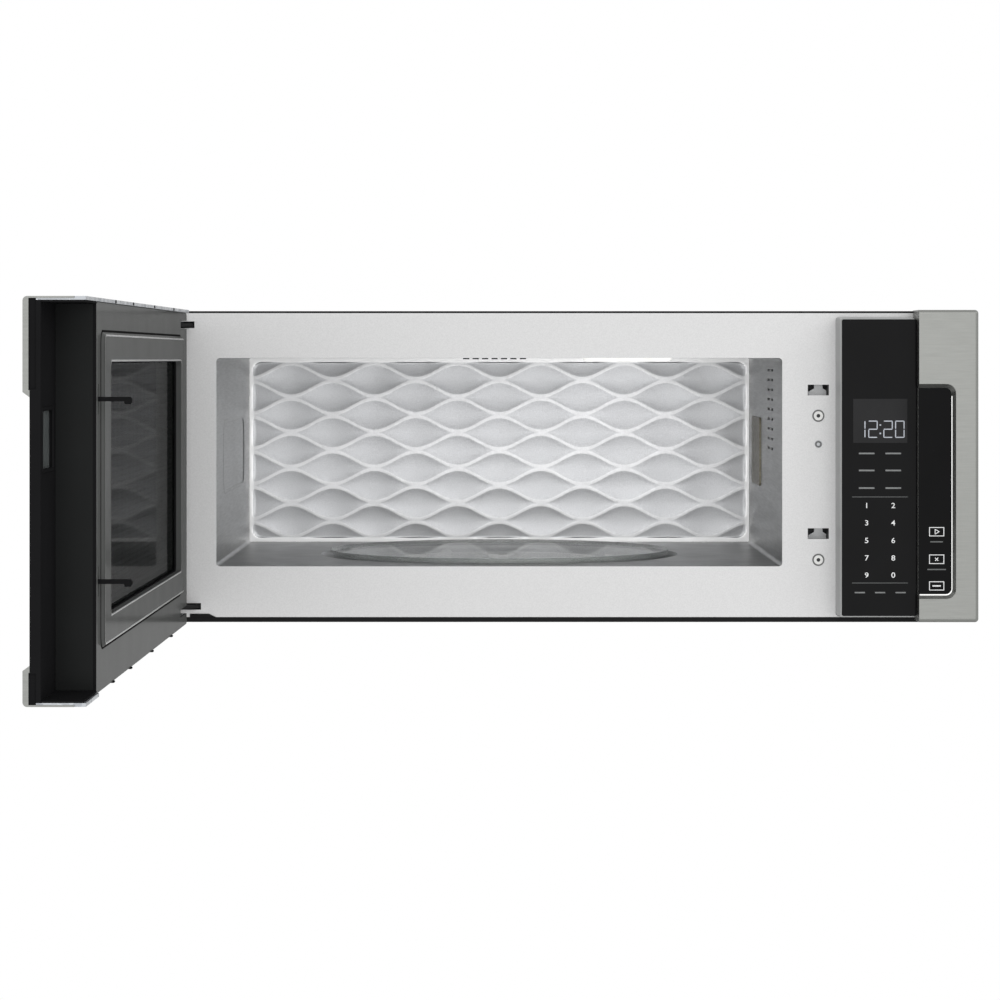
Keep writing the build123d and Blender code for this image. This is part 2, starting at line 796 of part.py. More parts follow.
def make_door_skin():
    """Stainless C frame: face, wrapped edges and rolled edges round the glass, open to the right."""
    outer = folded(door_x, out(skin_back_out, face_out), door_z, edge_radius, 1)
    inside_x = (door_x[0] + skin, door_x[1] + 1)
    inside_y = out(skin_back_out - 1, face_out - skin)
    inner = folded(inside_x, inside_y, grown(door_z, -skin), edge_radius - skin, 1)
    hem_y = out(face_out - end_hem, face_out - skin)
    hem = block((door_x[1] - skin, door_x[1]), hem_y, grown(door_z, -skin / 2))
    x = (door_x[0] + left_stile, door_x[1] + open_run)
    shell = outer - inner + (hem & outer)
    shell -= recess_prism(out(0, face_out + 1), 0, x[0], glass_z, recess_corner, x[1])
    shell += rolled_edge(x, glass_z) & block(door_x, out(0, face_out), door_z)
    return shell - hinge_pockets()


def hinge_pockets():
    """Slots in the left end of the door that let the hinge plates swing."""
    x = (door_x[0] - 1, pin_x + pocket_reach)
    y = out(0, face_out - skin)
    upper = block(x, y, (upper_hinge_z - pocket_half_height, upper_lug_z))
    lower = block(x, y, (lower_hinge_z - pocket_half_height, lower_lug_z))
    return upper + lower


upper_lug_z = upper_hinge_z + hinge_plate / 2 + bush_gap + bush_flange
lower_lug_z = lower_hinge_z + hinge_plate / 2 + bush_gap + bush_flange
bush_radius = pin_radius + running_clearance + bush_wall


def make_door_moulding():
    """Black plastic frame between skin and chassis that holds the glass."""
    x = (door_x[0] + skin, door_x[1] - skin)
    y = out(glass_back_out, face_out - skin)
    frame = folded(x, y, grown(door_z, -skin), edge_radius - skin, 1)
    hole_x = door_x[0] + left_stile - glass_lap - seat_gap
    frame -= block((hole_x, door_x[1] + 1), grown(y, 1), grown(glass_z, glass_lap + seat_gap))
    lug_x = (x[0] - 1, lug_right_x + seat_gap)
    for low in (upper_lug_z, lower_lug_z):
        frame -= block(lug_x, grown(y, 1), (low - 1, low + lug_height + seat_gap))
    return frame - hinge_pockets()


lug_right_x = pin_x + lug_reach


def make_door_glass():
    """Black outer glass, running to the free end."""
    x = (door_x[0] + left_stile - glass_lap, door_x[1] - liner_end)
    return block(x, out(glass_back_out, glass_out), grown(glass_z, glass_lap))


chassis_face_out = inner_base_out + 2.0
window_x = (cavity_x[0] + window_inset_x, cavity_x[1] - window_inset_right)
window_z = (floor_z + window_inset_z, ceiling_z - window_inset_z)
chassis_z = grown(door_z, -lip_height)
raised_x = grown(cavity_x, raised_lap)
raised_z = grown((floor_z, ceiling_z), raised_lap)


def make_door_chassis():
    """Steel inner tub: walls, window face, edge hems, hinge lugs and the guides of the latch bar."""
    x = (door_x[0] + skin, step_x - liner_step)
    y = out(chassis_face_out, glass_back_out)
    tub = block(x, y, chassis_z)
    tub = fillet(tub.edges().filter_by(Axis.Y).sort_by(Axis.X)[:2], edge_radius - skin)
    tub_y = out(chassis_face_out + chassis, glass_back_out + 1)
    tub -= block(grown(x, -chassis), tub_y, grown(chassis_z, -chassis))
    tub -= rounded(grown(window_x, 1), out(0, glass_back_out), grown(window_z, 1), 4)
    start = door_x[0] + edge_radius
    end = door_x[1] - liner_end
    lip_out = inner_base_out - hem_rise
    seam_out = skin_back_out - seat_gap
    tub += block((start, end), out(lip_out, seam_out), (chassis_z[1], door_z[1]))
    tub += block((start, end), out(seam_out, glass_back_out), (chassis_z[1], door_z[1] - skin))
    tub += block((start, end), out(chassis_face_out, seam_out), (door_z[0], chassis_z[0]))
    tub += block((step_x, end), out(lip_out, chassis_face_out), (door_z[0], chassis_z[0]))
    tub += block((start, end), out(seam_out, glass_back_out), (door_z[0] + skin, chassis_z[0]))
    for low in (upper_lug_z, lower_lug_z):
        lug = block((x[0], lug_right_x), out(pin_out - lug_depth, face_out - skin), (low, low + lug_height))
        front_left = lug.edges().filter_by(Axis.Z).sort_by(Axis.X)[:2].sort_by(Axis.Y)[0]
        tub += fillet(front_left, edge_radius - skin)
    for side in (-1, 1):
        guide_x = latch_x + side * (bar_width / 2 + guide_gap + guide_wall / 2)
        tub += block(around(guide_x, guide_wall), out(chassis_face_out, bar_back_out + bar_thickness), bar_z)
    for z in (upper_hook_z, lower_hook_z):
        slot_y = out(0, chassis_face_out + 2 * chassis)
        tub -= block(around(latch_x, hook_slot), slot_y, around(z, hook_slot_height))
    tub -= hinge_pockets()
    for low in (upper_lug_z, lower_lug_z):
        tub -= rod_z(pin_x, pin_y, (low - 1, low + lug_height + 1), bush_radius)
    return tub


bar_front_out = chassis_face_out + chassis + 0.3
bar_back_out = bar_front_out + bar_thickness
bar_z = (lower_hook_z - bar_reach, upper_hook_z + bar_reach)


def make_choke_cover():
    """Grey inner frame of the door: base plane, raised panel over the oven mouth and the window opening."""
    x = (door_x[0] + 2 * skin, step_x - liner_step)
    z = (door_z[0] + cover_rise, chassis_z[1] - cover_top_gap)
    cover = rounded(x, out(inner_base_out, chassis_face_out), z, cover_corner)
    raised = rounded(raised_x, out(door_gap, chassis_face_out), raised_z, raised_corner)
    cover += chamfer(raised.faces().sort_by(Axis.Y)[-1].edges(), raised_bevel)
    cover -= rounded(window_x, out(0, chassis_face_out + 1), window_z, window_corner)
    slot_y = out(0, chassis_face_out + 1)
    for height in (upper_hook_z, lower_hook_z):
        cover -= block(around(latch_x, hook_slot), slot_y, around(height, hook_slot_height))
    return cover - hinge_pockets()


def make_inner_glass():
    """Clear pane behind the window opening."""
    start = chassis_face_out + chassis
    return block(grown(window_x, inner_glass_lap), out(start, start + inner_glass_thickness),
                 grown(window_z, inner_glass_lap))


def make_door_screen():
    """Perforated steel screen behind the inner glass."""
    start = chassis_face_out + chassis + inner_glass_thickness
    return block(grown(window_x, inner_glass_lap), out(start, start + screen_thickness),
                 grown(window_z, inner_glass_lap))


display_x = (bezel_left_x + display_inset, bezel_left_x + display_inset + display_width)
display_z = (half_height - display_drop - display_height, half_height - display_drop)


def make_end_liner():
    """Black plastic back of the thin end: plate, step wall, end wall and the display opening."""
    z = grown(chassis_z, -seat_gap)
    plate_x = (step_x - liner_step, door_x[1])
    cover = block(plate_x, out(thin_back_out, thin_back_out + liner), z)
    cover += block((plate_x[0], step_x), out(inner_base_out, thin_back_out), z)
    shelf_x = (step_x, door_x[1] - liner_end)
    shelf_y = out(inner_base_out - hem_rise + lip_shown, thin_back_out)
    for low in (z[0], z[1] - liner_floor):
        cover += block(shelf_x, shelf_y, (low, low + liner_floor))
    end_z = grown(glass_z, glass_lap)
    end_x = (door_x[1] - liner_end + seat_gap, door_x[1])
    cover += block(end_x, out(thin_back_out + liner, glass_out), end_z)
    return cover - block(grown(display_x, display_play), out(0, face_out), grown(display_z, display_play))


def make_display_window():
    """Tinted pane over the display, set into the liner."""
    y = out(thin_back_out + liner - pane_thickness, thin_back_out + liner)
    return block(grown(display_x, display_play), y, grown(display_z, display_play))


def make_door_bushes():
    """Flanged nylon bushes in the door's lugs."""
    bushes = []
    for low in (upper_lug_z, lower_lug_z):
        bush = rod_z(pin_x, pin_y, (low, low + lug_height), bush_radius)
        bush += rod_z(pin_x, pin_y, (low - bush_flange, low), bush_radius + bush_shoulder)
        bore_z = (low - 2 * bush_flange, low + lug_height + 1)
        bush -= rod_z(pin_x, pin_y, bore_z, pin_radius + running_clearance)
        bushes.append(bush)
    return bushes[0] + bushes[1]


def hinge_arm(z, slot_right, rear):
    """Plate from the cabinet through its slot to the eye round the pin."""
    eye = rod_z(pin_x, pin_y, z, hinge_eye)
    left = pin_x - hinge_eye
    foot = (hinge_slot_left + slot_play_left, slot_right - slot_play_right)
    tangent = hinge_eye / 8
    outline = Polyline((left + tangent, pin_y), (foot[0], front_y), (foot[0], rear), (foot[1], rear),
                       (foot[1], front_y), (pin_x + hinge_eye / 2, pin_y - hinge_eye + tangent), close=True)
    plate = extrude(make_face(outline), z[1] - z[0])
    return eye + Pos(0, 0, z[0]) * plate


def make_hinge(z_centre, slot_right, lug_low):
    """Hinge plate with its fixing flange behind the front frame and its pin."""
    z = around(z_centre, hinge_plate)
    hinge = hinge_arm(z, slot_right, cavity_mouth_y + hinge_tail)
    flange_x = (hinge_slot_left - hinge_flange_left, slot_right + hinge_flange_right)
    towards_middle = hinge_flange_height if z_centre < 0 else -hinge_flange_height
    flange_y = (cavity_mouth_y, cavity_mouth_y + hinge_flange_sheet)
    flange_z = sorted((z_centre, z_centre + towards_middle))
    hinge += block(flange_x, flange_y, grown(flange_z, hinge_plate / 2))
    hinge += rod_z(pin_x, pin_y, (z[0], lug_low + lug_height), pin_radius)
    return hinge


def make_latch_bar():
    """Upright bar in the door with two hooks that reach through the inner cover."""
    bar = block(around(latch_x, bar_width), out(bar_front_out, bar_back_out), bar_z)
    for z in (upper_hook_z, lower_hook_z):
        x = around(latch_x, hook_width)
        tip = door_gap - hook_reach
        height = around(z, hook_height)
        hook = block(x, out(tip, bar_front_out), height)
        hook += block(x, out(tip, tip + barb_length), (height[0] - barb_drop, height[1]))
        nose = hook.edges().filter_by(Axis.X).group_by(Axis.Y)[-1]
        bar += chamfer(nose, barb_bevel)
    return bar


def make_latch_spring():
    """Compression spring above the latch bar, as one unbroken coil."""
    foot = bar_z[1] + spring_wire / 2 + seat_gap
    top = chassis_z[1] - chassis - spring_wire / 2 - seat_gap
    coil = Helix(pitch=(top - foot) / spring_turns, height=top - foot, radius=spring_radius)
    start = coil % 0
    section = Plane(origin=coil @ 0, z_dir=start) * RegularPolygon(spring_wire / 2, 4)
    wire = sweep(section, path=coil, is_frenet=True)
    gap = (top - foot) / spring_turns - spring_wire
    print("latch spring, least gap between turns:", round(gap, 2), "mm")
    centre_out = bar_back_out + spring_radius - bar_thickness / 2 - spring_wire
    return Pos(latch_x, front_y - centre_out, foot) * wire


# ---------------------------------------------------------------- fixed trims and controls
def make_right_trim():
    """Stainless trim at the right: face with the open recess, side wraps and rolled edges."""
    x = (trim_left_x, half_width)
    outer = folded(x, out(0, face_out), trim_z, edge_radius, -1)
    inner = block(grown(x, -skin), out(-1, face_out - skin - edge_radius), grown(trim_z, -skin))
    bend = out(face_out - skin - edge_radius, face_out - skin)
    inner += folded((x[0] + skin, x[1] - skin), bend, grown(trim_z, -skin), edge_radius - skin, -1)
    recess_x = (x[0] - open_run, x[0] + touch_width)
    cut = recess_prism(out(glass_out, face_out + 1), 0, recess_x[0], glass_z, recess_corner, recess_x[1])
    cut += block((x[0] - 1, x[0] + 2 * skin), out(glass_back_out, face_out + 1), grown(glass_z, -roll_width))
    trim = outer - inner - cut
    return trim + (rolled_edge(recess_x, glass_z) & block(x, out(0, face_out), trim_z))


def make_touch_insert():
    """Black glass with the three touch keys, set behind the rolled edge."""
    x = (trim_left_x + seat_gap, trim_left_x + touch_width + skin - seat_gap)
    y = out(glass_back_out + seat_gap, glass_out - seat_gap)
    return block(x, y, grown(glass_z, -roll_width - seat_gap))


def make_trim_carrier():
    """Black plastic carrier inside the right trim, behind the touch glass."""
    x = grown((trim_left_x, half_width), -skin)
    z = grown(trim_z, -skin)
    carrier = block(x, out(0, glass_back_out), z)
    return carrier - block(grown(x, -bezel_wall), out(-1, glass_back_out - bezel_wall), grown(z, -bezel_wall))


def make_left_column():
    """Fixed stainless column left of the hinges: face, both sides, top and bottom."""
    x = (-half_width, column_right_x)
    outer = folded(x, out(0, face_out), trim_z, edge_radius, 1)
    inside = (grown(x, -skin), out(-1, face_out - skin), grown(trim_z, -skin))
    return outer - folded(*inside, edge_radius - skin, 1)


bezel_x = (bezel_left_x, trim_left_x - bezel_side_gap)
bezel_z = grown((-half_height, half_height), -bezel_inset_z)


def make_control_bezel():
    """Grey housing of the controls: drafted walls, open to the front for its glass."""
    foot = Pos((bezel_x[0] + bezel_x[1]) / 2, front_y, sum(bezel_z) / 2) * Rot(X=90) * \
        RectangleRounded(bezel_x[1] - bezel_x[0], bezel_z[1] - bezel_z[0], bezel_corner)
    slope = degrees(asin(bezel_draft / bezel_out))
    shell = extrude(foot, bezel_out, taper=slope)
    inset = bezel_draft + bezel_wall
    shell -= block(grown(bezel_x, -inset), out(-1, bezel_out + 1), grown(bezel_z, -inset))
    seat = out(bezel_out - control_glass_thickness, bezel_out + 1)
    return shell - rounded(grown(control_x, seat_gap), seat, grown(control_z, seat_gap), control_corner)


control_x = (bezel_x[0] + bezel_draft + bezel_lip, bezel_x[1] - seat_gap)
control_z = grown(bezel_z, -bezel_draft - bezel_lip)


def make_control_glass():
    """Black touch glass of the control panel."""
    y = out(bezel_out - control_glass_thickness, bezel_out + control_glass_proud)
    return rounded(control_x, y, control_z, control_corner)


def make_display_module():
    """Numeric display behind the control glass."""
    high = bezel_out - control_glass_thickness
    y = out(high - module_depth, high)
    return block(grown(display_x, module_frame), y, grown(display_z, module_frame))


def make_control_board():
    """Circuit board behind the display, standing on its four spacers."""
    high = bezel_out - control_glass_thickness - module_depth
    x = grown(bezel_x, -board_side_gap)
    z = grown(bezel_z, -board_end_gap)
    board = block(x, out(high - board_thickness, high), z)
    post_y = out(0, high - board_thickness)
    for corner_x in grown(x, -board_post):
        for corner_z in grown(z, -board_post):
            board += block(around(corner_x, board_post), post_y, around(corner_z, board_post))
    return board


bumper_z = (upper_hook_z - upper_bumper_drop, lower_hook_z - lower_bumper_drop)
frame_screw_z = upper_hook_z - frame_screw_drop


def make_door_bumpers():
    """Two white nylon buttons that the closed door meets."""
    buttons = []
    for z in bumper_z:
        button = rod_y(latch_x, out(0, bumper_height), z, bumper_radius)
        button = chamfer(button.faces().sort_by(Axis.Y)[0].edges(), bumper_bevel)
        button += rod_y(latch_x, out(-bumper_tail, 0), z, bumper_stem)
        button -= rod_y(latch_x, out(bumper_height - dimple_depth, bumper_height + 1), z, bumper_dimple)
        buttons.append(button)
    return buttons[0] + buttons[1]


latch_block_x = around(latch_x, latch_block_width)


def make_latch_block():
    """Moulded holder behind the latch slots, with a room for each hook."""
    z = (lower_hook_z - latch_block_reach, upper_hook_z + latch_block_reach)
    holder = block(latch_block_x, (cavity_mouth_y, cavity_mouth_y + latch_block_depth), z)
    room_y = (cavity_mouth_y - 1, cavity_mouth_y + latch_room)
    for z in (upper_hook_z, lower_hook_z):
        room_z = grown(around(z, latch_slot_height), latch_room_play)
        holder -= block(around(latch_x, latch_slot_width), room_y, room_z)
    for z in bumper_z:
        holder -= rod_y(latch_x, grown((front_y, cavity_mouth_y + bumper_tail), 1), z, bumper_stem + seat_gap)
    screw_y = grown((front_y, cavity_mouth_y + screw_length), 1)
    holder -= rod_y(latch_x, screw_y, frame_screw_z, screw_shank)
    return holder


def make_interlock_switches():
    """Three snap-action switches beside the latch block, each with its button."""
    x = (latch_block_x[1], latch_block_x[1] + switch_thickness)
    y = around(cavity_mouth_y + latch_block_depth / 2, switch_length)
    top = switch_height / 2
    switches = None
    for z in (upper_hook_z + switch_offset, upper_hook_z - 2 * switch_offset, lower_hook_z):
        body = block(x, y, around(z, switch_height))
        button = block(around(sum(x) / 2, switch_button), around(y[0] + switch_button, switch_button),
                       (z + top, z + top + switch_button / 2))
        switches = body + button if switches is None else switches + body + button
    return switches


def make_waveguide_cover():
    """Mica plate over the wave opening in the right wall."""
    x = (cavity_x[1] - cover_thickness, cavity_x[1])
    plate = block(x, grown(aperture_y, cover_lap), grown(aperture_z, cover_lap))
    return fillet(plate.edges().filter_by(Axis.X), cover_lap / 2)


def make_cavity_lamp_cover():
    """Clear plate over the lamp opening in the ceiling."""
    z = (ceiling_z - lamp_cover_thickness, ceiling_z)
    x = grown(lamp_hole_x, lamp_cover_lap)
    return rounded_flat(x, grown(lamp_hole_y, lamp_cover_lap), z, lamp_cover_lap)


def make_cavity_lamp():
    """Lamp housing above the ceiling opening with its round bulb."""
    z = (ceiling_z + wall, half_height - sheet - lamp_box_room)
    x = grown(lamp_hole_x, lamp_box_lap)
    y = grown(lamp_hole_y, lamp_box_lap)
    box = block(x, y, z)
    box -= block(grown(x, -lamp_box_wall), grown(y, -lamp_box_wall), (z[0] - 1, z[1] - lamp_box_wall))
    bulb = rod_x((x[0] + lamp_box_wall / 2, x[0] + bulb_length), sum(y) / 2, z[0] + bulb_rise, bulb_radius)
    return box + chamfer(bulb.faces().sort_by(Axis.X)[-1].edges(), bulb_radius / 2)


# ---------------------------------------------------------------- hood side
scroll_start = wheel_radius + wheel_clear
scroll_x = (-half_wrap + sheet + scroll_side_gap,
            -half_wrap + sheet + scroll_side_gap + wheel_inset + wheel_width + motor_gap + motor_sink)
scroll_y = -scroll_start - scroll_growth - scroll_wall_gap
inlet_radius = wheel_radius - inlet_lap
duct_z = (ceiling_z + wall, half_height - sheet)
duct_y = (scroll_y - scroll_start - 3 * scroll_growth - 2 * sheet, -duct_wall_gap)
duct_x = (-half_wrap + sheet + duct_side_gap, exhaust_width / 2 + duct_end)


def scroll_outline(by):
    """Spiral outline of the blower housing in the YZ plane, moved in by a wall."""
    radii = [scroll_start + scroll_growth * step - by for step in range(4)]
    angles = [100.0, 10.0, -80.0, -170.0]
    points = [(radii[i] * cos(radians(angles[i])), radii[i] * sin(radians(angles[i]))) for i in range(4)]
    lines = []
    for index in range(3):
        middle = radians((angles[index] + angles[index + 1]) / 2)
        radius = (radii[index] + radii[index + 1]) / 2
        midpoint = (radius * cos(middle), radius * sin(middle))
        lines.append(ThreePointArc(points[index], midpoint, points[index + 1]))
    top = duct_z[0] - scroll_z + (1 if by else 0)
    lines.append(Line(points[3], (points[3][0], top)))
    lines.append(Line((points[3][0], top), (points[0][0], top)))
    lines.append(Line((points[0][0], top), points[0]))
    return make_face(lines)


def scroll_solid(x, by):
    """The blower housing's outline as a solid between two X values."""
    face = Plane(origin=(x[0], scroll_y, scroll_z), x_dir=(0, 1, 0), z_dir=(1, 0, 0)) * scroll_outline(by)
    return extrude(face, x[1] - x[0])


def make_vent_scroll():
    """Spiral blower housing, open at the top and at both inlets, with feet on the side sheet."""
    shell = scroll_solid(scroll_x, 0) - scroll_solid(grown(scroll_x, -scroll_sheet), scroll_sheet)
    shell -= rod_x(grown(scroll_x, 5), scroll_y, scroll_z, inlet_radius)
    foot_y = around(scroll_y - scroll_start - scroll_sheet - 2 * sheet, foot_width)
    for z in around(scroll_z, foot_span):
        shell += block((-half_wrap + sheet, scroll_x[0] + scroll_sheet), foot_y, around(z, foot_height))
    return shell


def make_vent_motor():
    """Motor at the right of the scroll with its long shaft and a three-arm bracket."""
    x = (scroll_x[1] - motor_sink, scroll_x[1] - motor_sink + motor_length)
    motor = rod_x(x, scroll_y, scroll_z, vent_motor_radius)
    motor = chamfer(motor.edges().filter_by(GeomType.CIRCLE), motor_bevel)
    motor += rod_x((wheel_x[0] + wheel_inset, x[0] + motor_gap), scroll_y, scroll_z, motor_shaft)
    arm_z = (vent_motor_radius - motor_bevel, inlet_radius + motor_arm)
    for index in range(3):
        arm = block((scroll_x[1], scroll_x[1] + motor_arm_sheet), around(0, motor_arm), arm_z)
        motor += Pos(0, scroll_y, scroll_z) * Rot(X=90 + 120 * index) * arm
    return motor


wheel_x = (scroll_x[0] + wheel_inset, scroll_x[0] + wheel_inset + wheel_width)


def make_vent_wheels():
    """Squirrel-cage wheel: curved blades between two rings, with a hub plate in the middle."""
    middle = sum(wheel_x) / 2
    inner = wheel_radius - blade_depth
    wheel = None
    for x in (wheel_x[0], wheel_x[1] - wheel_ring):
        span = (x, x + wheel_ring)
        ring = rod_x(span, 0, 0, wheel_radius) - rod_x(grown(span, 1), 0, 0, inner)
        wheel = ring if wheel is None else wheel + ring
    wheel += rod_x(around(middle, wheel_ring), 0, 0, inner + 2 * blade_root)
    wheel += rod_x(around(middle, wheel_hub_length), 0, 0, wheel_hub_radius)
    tip = (wheel_radius - blade_root, 0)
    bend = (inner + blade_depth / 2, blade_bend)
    root = (inner + blade_root, 0)
    back = [(point[0], point[1] - blade_thickness) for point in (root, bend, tip)]
    face = make_face(Polyline(tip, bend, root, *back, close=True))
    plane = Plane(origin=(wheel_x[0] + wheel_ring, 0, 0), x_dir=(0, 1, 0), z_dir=(1, 0, 0))
    blade = extrude(plane * face, wheel_width - 2 * wheel_ring)
    wheel += [Rot(X=360 / blade_count * index) * blade for index in range(blade_count)]
    wheel -= rod_x(grown(wheel_x, 1), 0, 0, motor_shaft + running_clearance)
    return Pos(0, scroll_y, scroll_z) * wheel


flap_pin_y = exhaust_y[1] - flap_pin_inset
flap_pin_z = half_height - sheet - flap_pin_drop


def make_exhaust_duct():
    """Flat duct above the cavity from the blower to the outlet, with the ears of the damper."""
    duct = block(duct_x, duct_y, duct_z)
    duct -= block(grown(duct_x, -sheet), grown(duct_y, -sheet), grown(duct_z, -sheet))
    spiral_reach = scroll_start + 3 * scroll_growth - scroll_sheet
    spiral_y = (scroll_y - spiral_reach, scroll_y + outlet_inner - scroll_sheet)
    lower = grown((duct_z[0], duct_z[0] + sheet), spiral_play)
    upper = grown((duct_z[1] - sheet, duct_z[1]), spiral_play)
    duct -= block(grown(scroll_x, -scroll_sheet), spiral_y, lower)
    duct -= rounded_flat(exhaust_x, exhaust_y, upper, outlet_corner)
    ear_start = exhaust_width / 2 + ear_gap
    for side in (-1, 1):
        ear_x = sorted((side * ear_start, side * (ear_start + ear_thickness)))
        ear = block(ear_x, around(flap_pin_y, ear_depth), (flap_pin_z - ear_drop, duct_z[1] - sheet))
        duct += ear - rod_x(grown(ear_x, 1), flap_pin_y, flap_pin_z, flap_pin + running_clearance)
    return duct


def make_damper_flap():
    """Back-draught flap under the outlet, on a long pin along its rear edge."""
    x = grown(exhaust_x, -flap_side_gap)
    flap = block(x, (exhaust_y[0] + flap_side_gap, flap_pin_y), around(flap_pin_z, flap_thickness))
    reach = exhaust_width / 2 + ear_thickness
    return flap + rod_x((-reach, reach), flap_pin_y, flap_pin_z, flap_pin)


def make_grease_filters():
    """Two mesh filters on the ledges of the base pan, each a folded frame round its mesh."""
    z = (-half_height + back_sheet, -half_height + back_sheet + filter_thickness)
    panels = []
    for x in filter_spans():
        panel = block(x, filter_y, z)
        mesh = grown(z, -filter_fold)
        for side in ((z[0] - 1, mesh[0]), (mesh[1], z[1] + 1)):
            panel -= block(grown(x, -filter_frame), grown(filter_y, -filter_frame), side)
        panels.append(panel)
    return panels[0] + panels[1]


def make_cooktop_lamp_lenses():
    """Two clear lenses in the base pan, each with a flange on the sheet."""
    lenses = []
    low = -half_height + back_sheet
    for x in lamp_spans():
        lens = block(x, lamp_y, (low, low + lens_lift))
        inset = -lens_ledge - lens_play
        lens_z = (-half_height + lens_recess, low)
        lens += rounded_flat(grown(x, inset), grown(lamp_y, inset), lens_z, lens_corner)
        lenses.append(lens)
    return lenses[0] + lenses[1]


def make_cooktop_lamps():
    """Two lamp boards above the lenses, each with its cover and light emitters."""
    lamps = []
    low = -half_height + back_sheet + lens_lift
    board = low + lamp_cover_height - 2 * lamp_cover_wall
    for x in lamp_spans():
        cover = block(x, lamp_y, (low, low + lamp_cover_height))
        cover -= block(grown(x, -lamp_cover_wall), grown(lamp_y, -lamp_cover_wall), (low - 1, board))
        strip = (around(sum(x) / 2, emitter_length), around(sum(lamp_y) / 2, emitter_width))
        lamps.append(cover + block(*strip, (board - emitter_height, board)))
    return lamps[0] + lamps[1]


def make_top_mount_nuts():
    """Two threaded plates under the top sheet for the cabinet bolts."""
    top = half_height - sheet
    nuts = []
    for x in (-bolt_x, bolt_x):
        nut = rod_z(x, bolt_y, (top - nut_height, top), nut_radius)
        plate_y = around(bolt_y, nut_plate_depth)
        nut += block(around(x, nut_plate_width), plate_y, (top - nut_plate_sheet, top))
        nuts.append(nut - rod_z(x, bolt_y, (top - nut_height - 1, top + 1), nut_bore))
    return nuts[0] + nuts[1]


# ---------------------------------------------------------------- power side, in the right bay
guide_x = (cavity_x[1] + wall, cavity_x[1] + wall + wave_guide_width)
guide_y = (aperture_y[0] - wave_guide_lap, cavity_back_y + wave_guide_end)
guide_z = grown(aperture_z, wave_guide_lap)
magnetron_y = cavity_back_y - magnetron_inset


def make_waveguide():
    """Rectangular tube from the magnetron to the opening in the right wall."""
    tube = block(guide_x, guide_y, guide_z)
    bore_x = (guide_x[0] - 1, guide_x[1] - guide_sheet)
    tube -= block(bore_x, grown(guide_y, -guide_sheet), grown(guide_z, -guide_sheet))
    end = (guide_x[1] - 2 * guide_sheet, guide_x[1] + 1)
    return tube - rod_x(end, magnetron_y, sum(guide_z) / 2, antenna_radius + antenna_play)


def make_magnetron():
    """Magnetron: yoke, cooling fins, magnets, filter box and the antenna in the wave tube."""
    z = sum(guide_z) / 2
    x = (guide_x[1], guide_x[1] + yoke_length)
    inside = grown(x, -yoke_sheet)
    yoke = block(x, around(magnetron_y, yoke_depth), around(z, yoke_height))
    yoke -= block(inside, around(magnetron_y, yoke_depth - 2 * yoke_sheet), around(z, yoke_height + 2))
    core = rod_x(grown(x, -yoke_sheet / 2), magnetron_y, z, core_radius)
    core += rod_x((inside[0], inside[0] + magnet_height), magnetron_y, z, magnet_radius)
    core += rod_x((inside[1] - magnet_height, inside[1]), magnetron_y, z, magnet_radius)
    first = sum(x) / 2 - fin_pitch * (fin_count - 1) / 2
    for index in range(fin_count):
        fin_x = around(first + fin_pitch * index, fin_sheet)
        core += block(fin_x, around(magnetron_y, yoke_depth - yoke_sheet), around(z, fin_height))
    box_x = (x[1], x[1] + filter_box_length)
    core += block(box_x, around(magnetron_y, filter_box_depth), around(z, filter_box_height))
    core += rod_x((x[0] - antenna_length, inside[0]), magnetron_y, z, antenna_radius)
    return yoke + core


tray_z = -half_height + back_sheet
transformer_x = (half_wrap - transformer_side_gap - transformer_width, half_wrap - transformer_side_gap)
transformer_y = (front_y + transformer_front, front_y + transformer_front + transformer_length)


def make_transformer():
    """High-voltage transformer: laminated core, two windings and its foot."""
    z = (tray_z, tray_z + transformer_height)
    core = block(transformer_x, transformer_y, (z[0], z[0] + transformer_foot))
    core += block(grown(transformer_x, -core_side), grown(transformer_y, -core_end), z)
    winding_z = (z[0] + winding_rise, z[0] + winding_rise + winding_height)
    for side in (-1, 1):
        y = around(sum(transformer_y) / 2 + side * (winding_gap + winding_length) / 2, winding_length)
        winding = block(transformer_x, y, winding_z)
        core += fillet(winding.edges().filter_by(Axis.Y), winding_corner)
    return core


def make_capacitor():
    """Oval high-voltage capacitor on the base, with two tabs."""
    x = (half_wrap - capacitor_side_gap - capacitor_width, half_wrap - capacitor_side_gap)
    y = (transformer_y[1] + capacitor_gap, transformer_y[1] + capacitor_gap + capacitor_length)
    top = tray_z + capacitor_height
    can = rounded_flat(x, y, (tray_z, top), capacitor_length / 2 - tab_sheet / 2)
    for tab_x in around(sum(x) / 2, tab_pitch):
        can += block(around(tab_x, tab_width), around(sum(y) / 2, tab_sheet), (top, top + tab_height))
    return can


fan_x = guide_x[1] + shroud_gap + shroud_half
fan_y = cavity_back_y - fan_behind
fan_z = sum(aperture_z) / 2


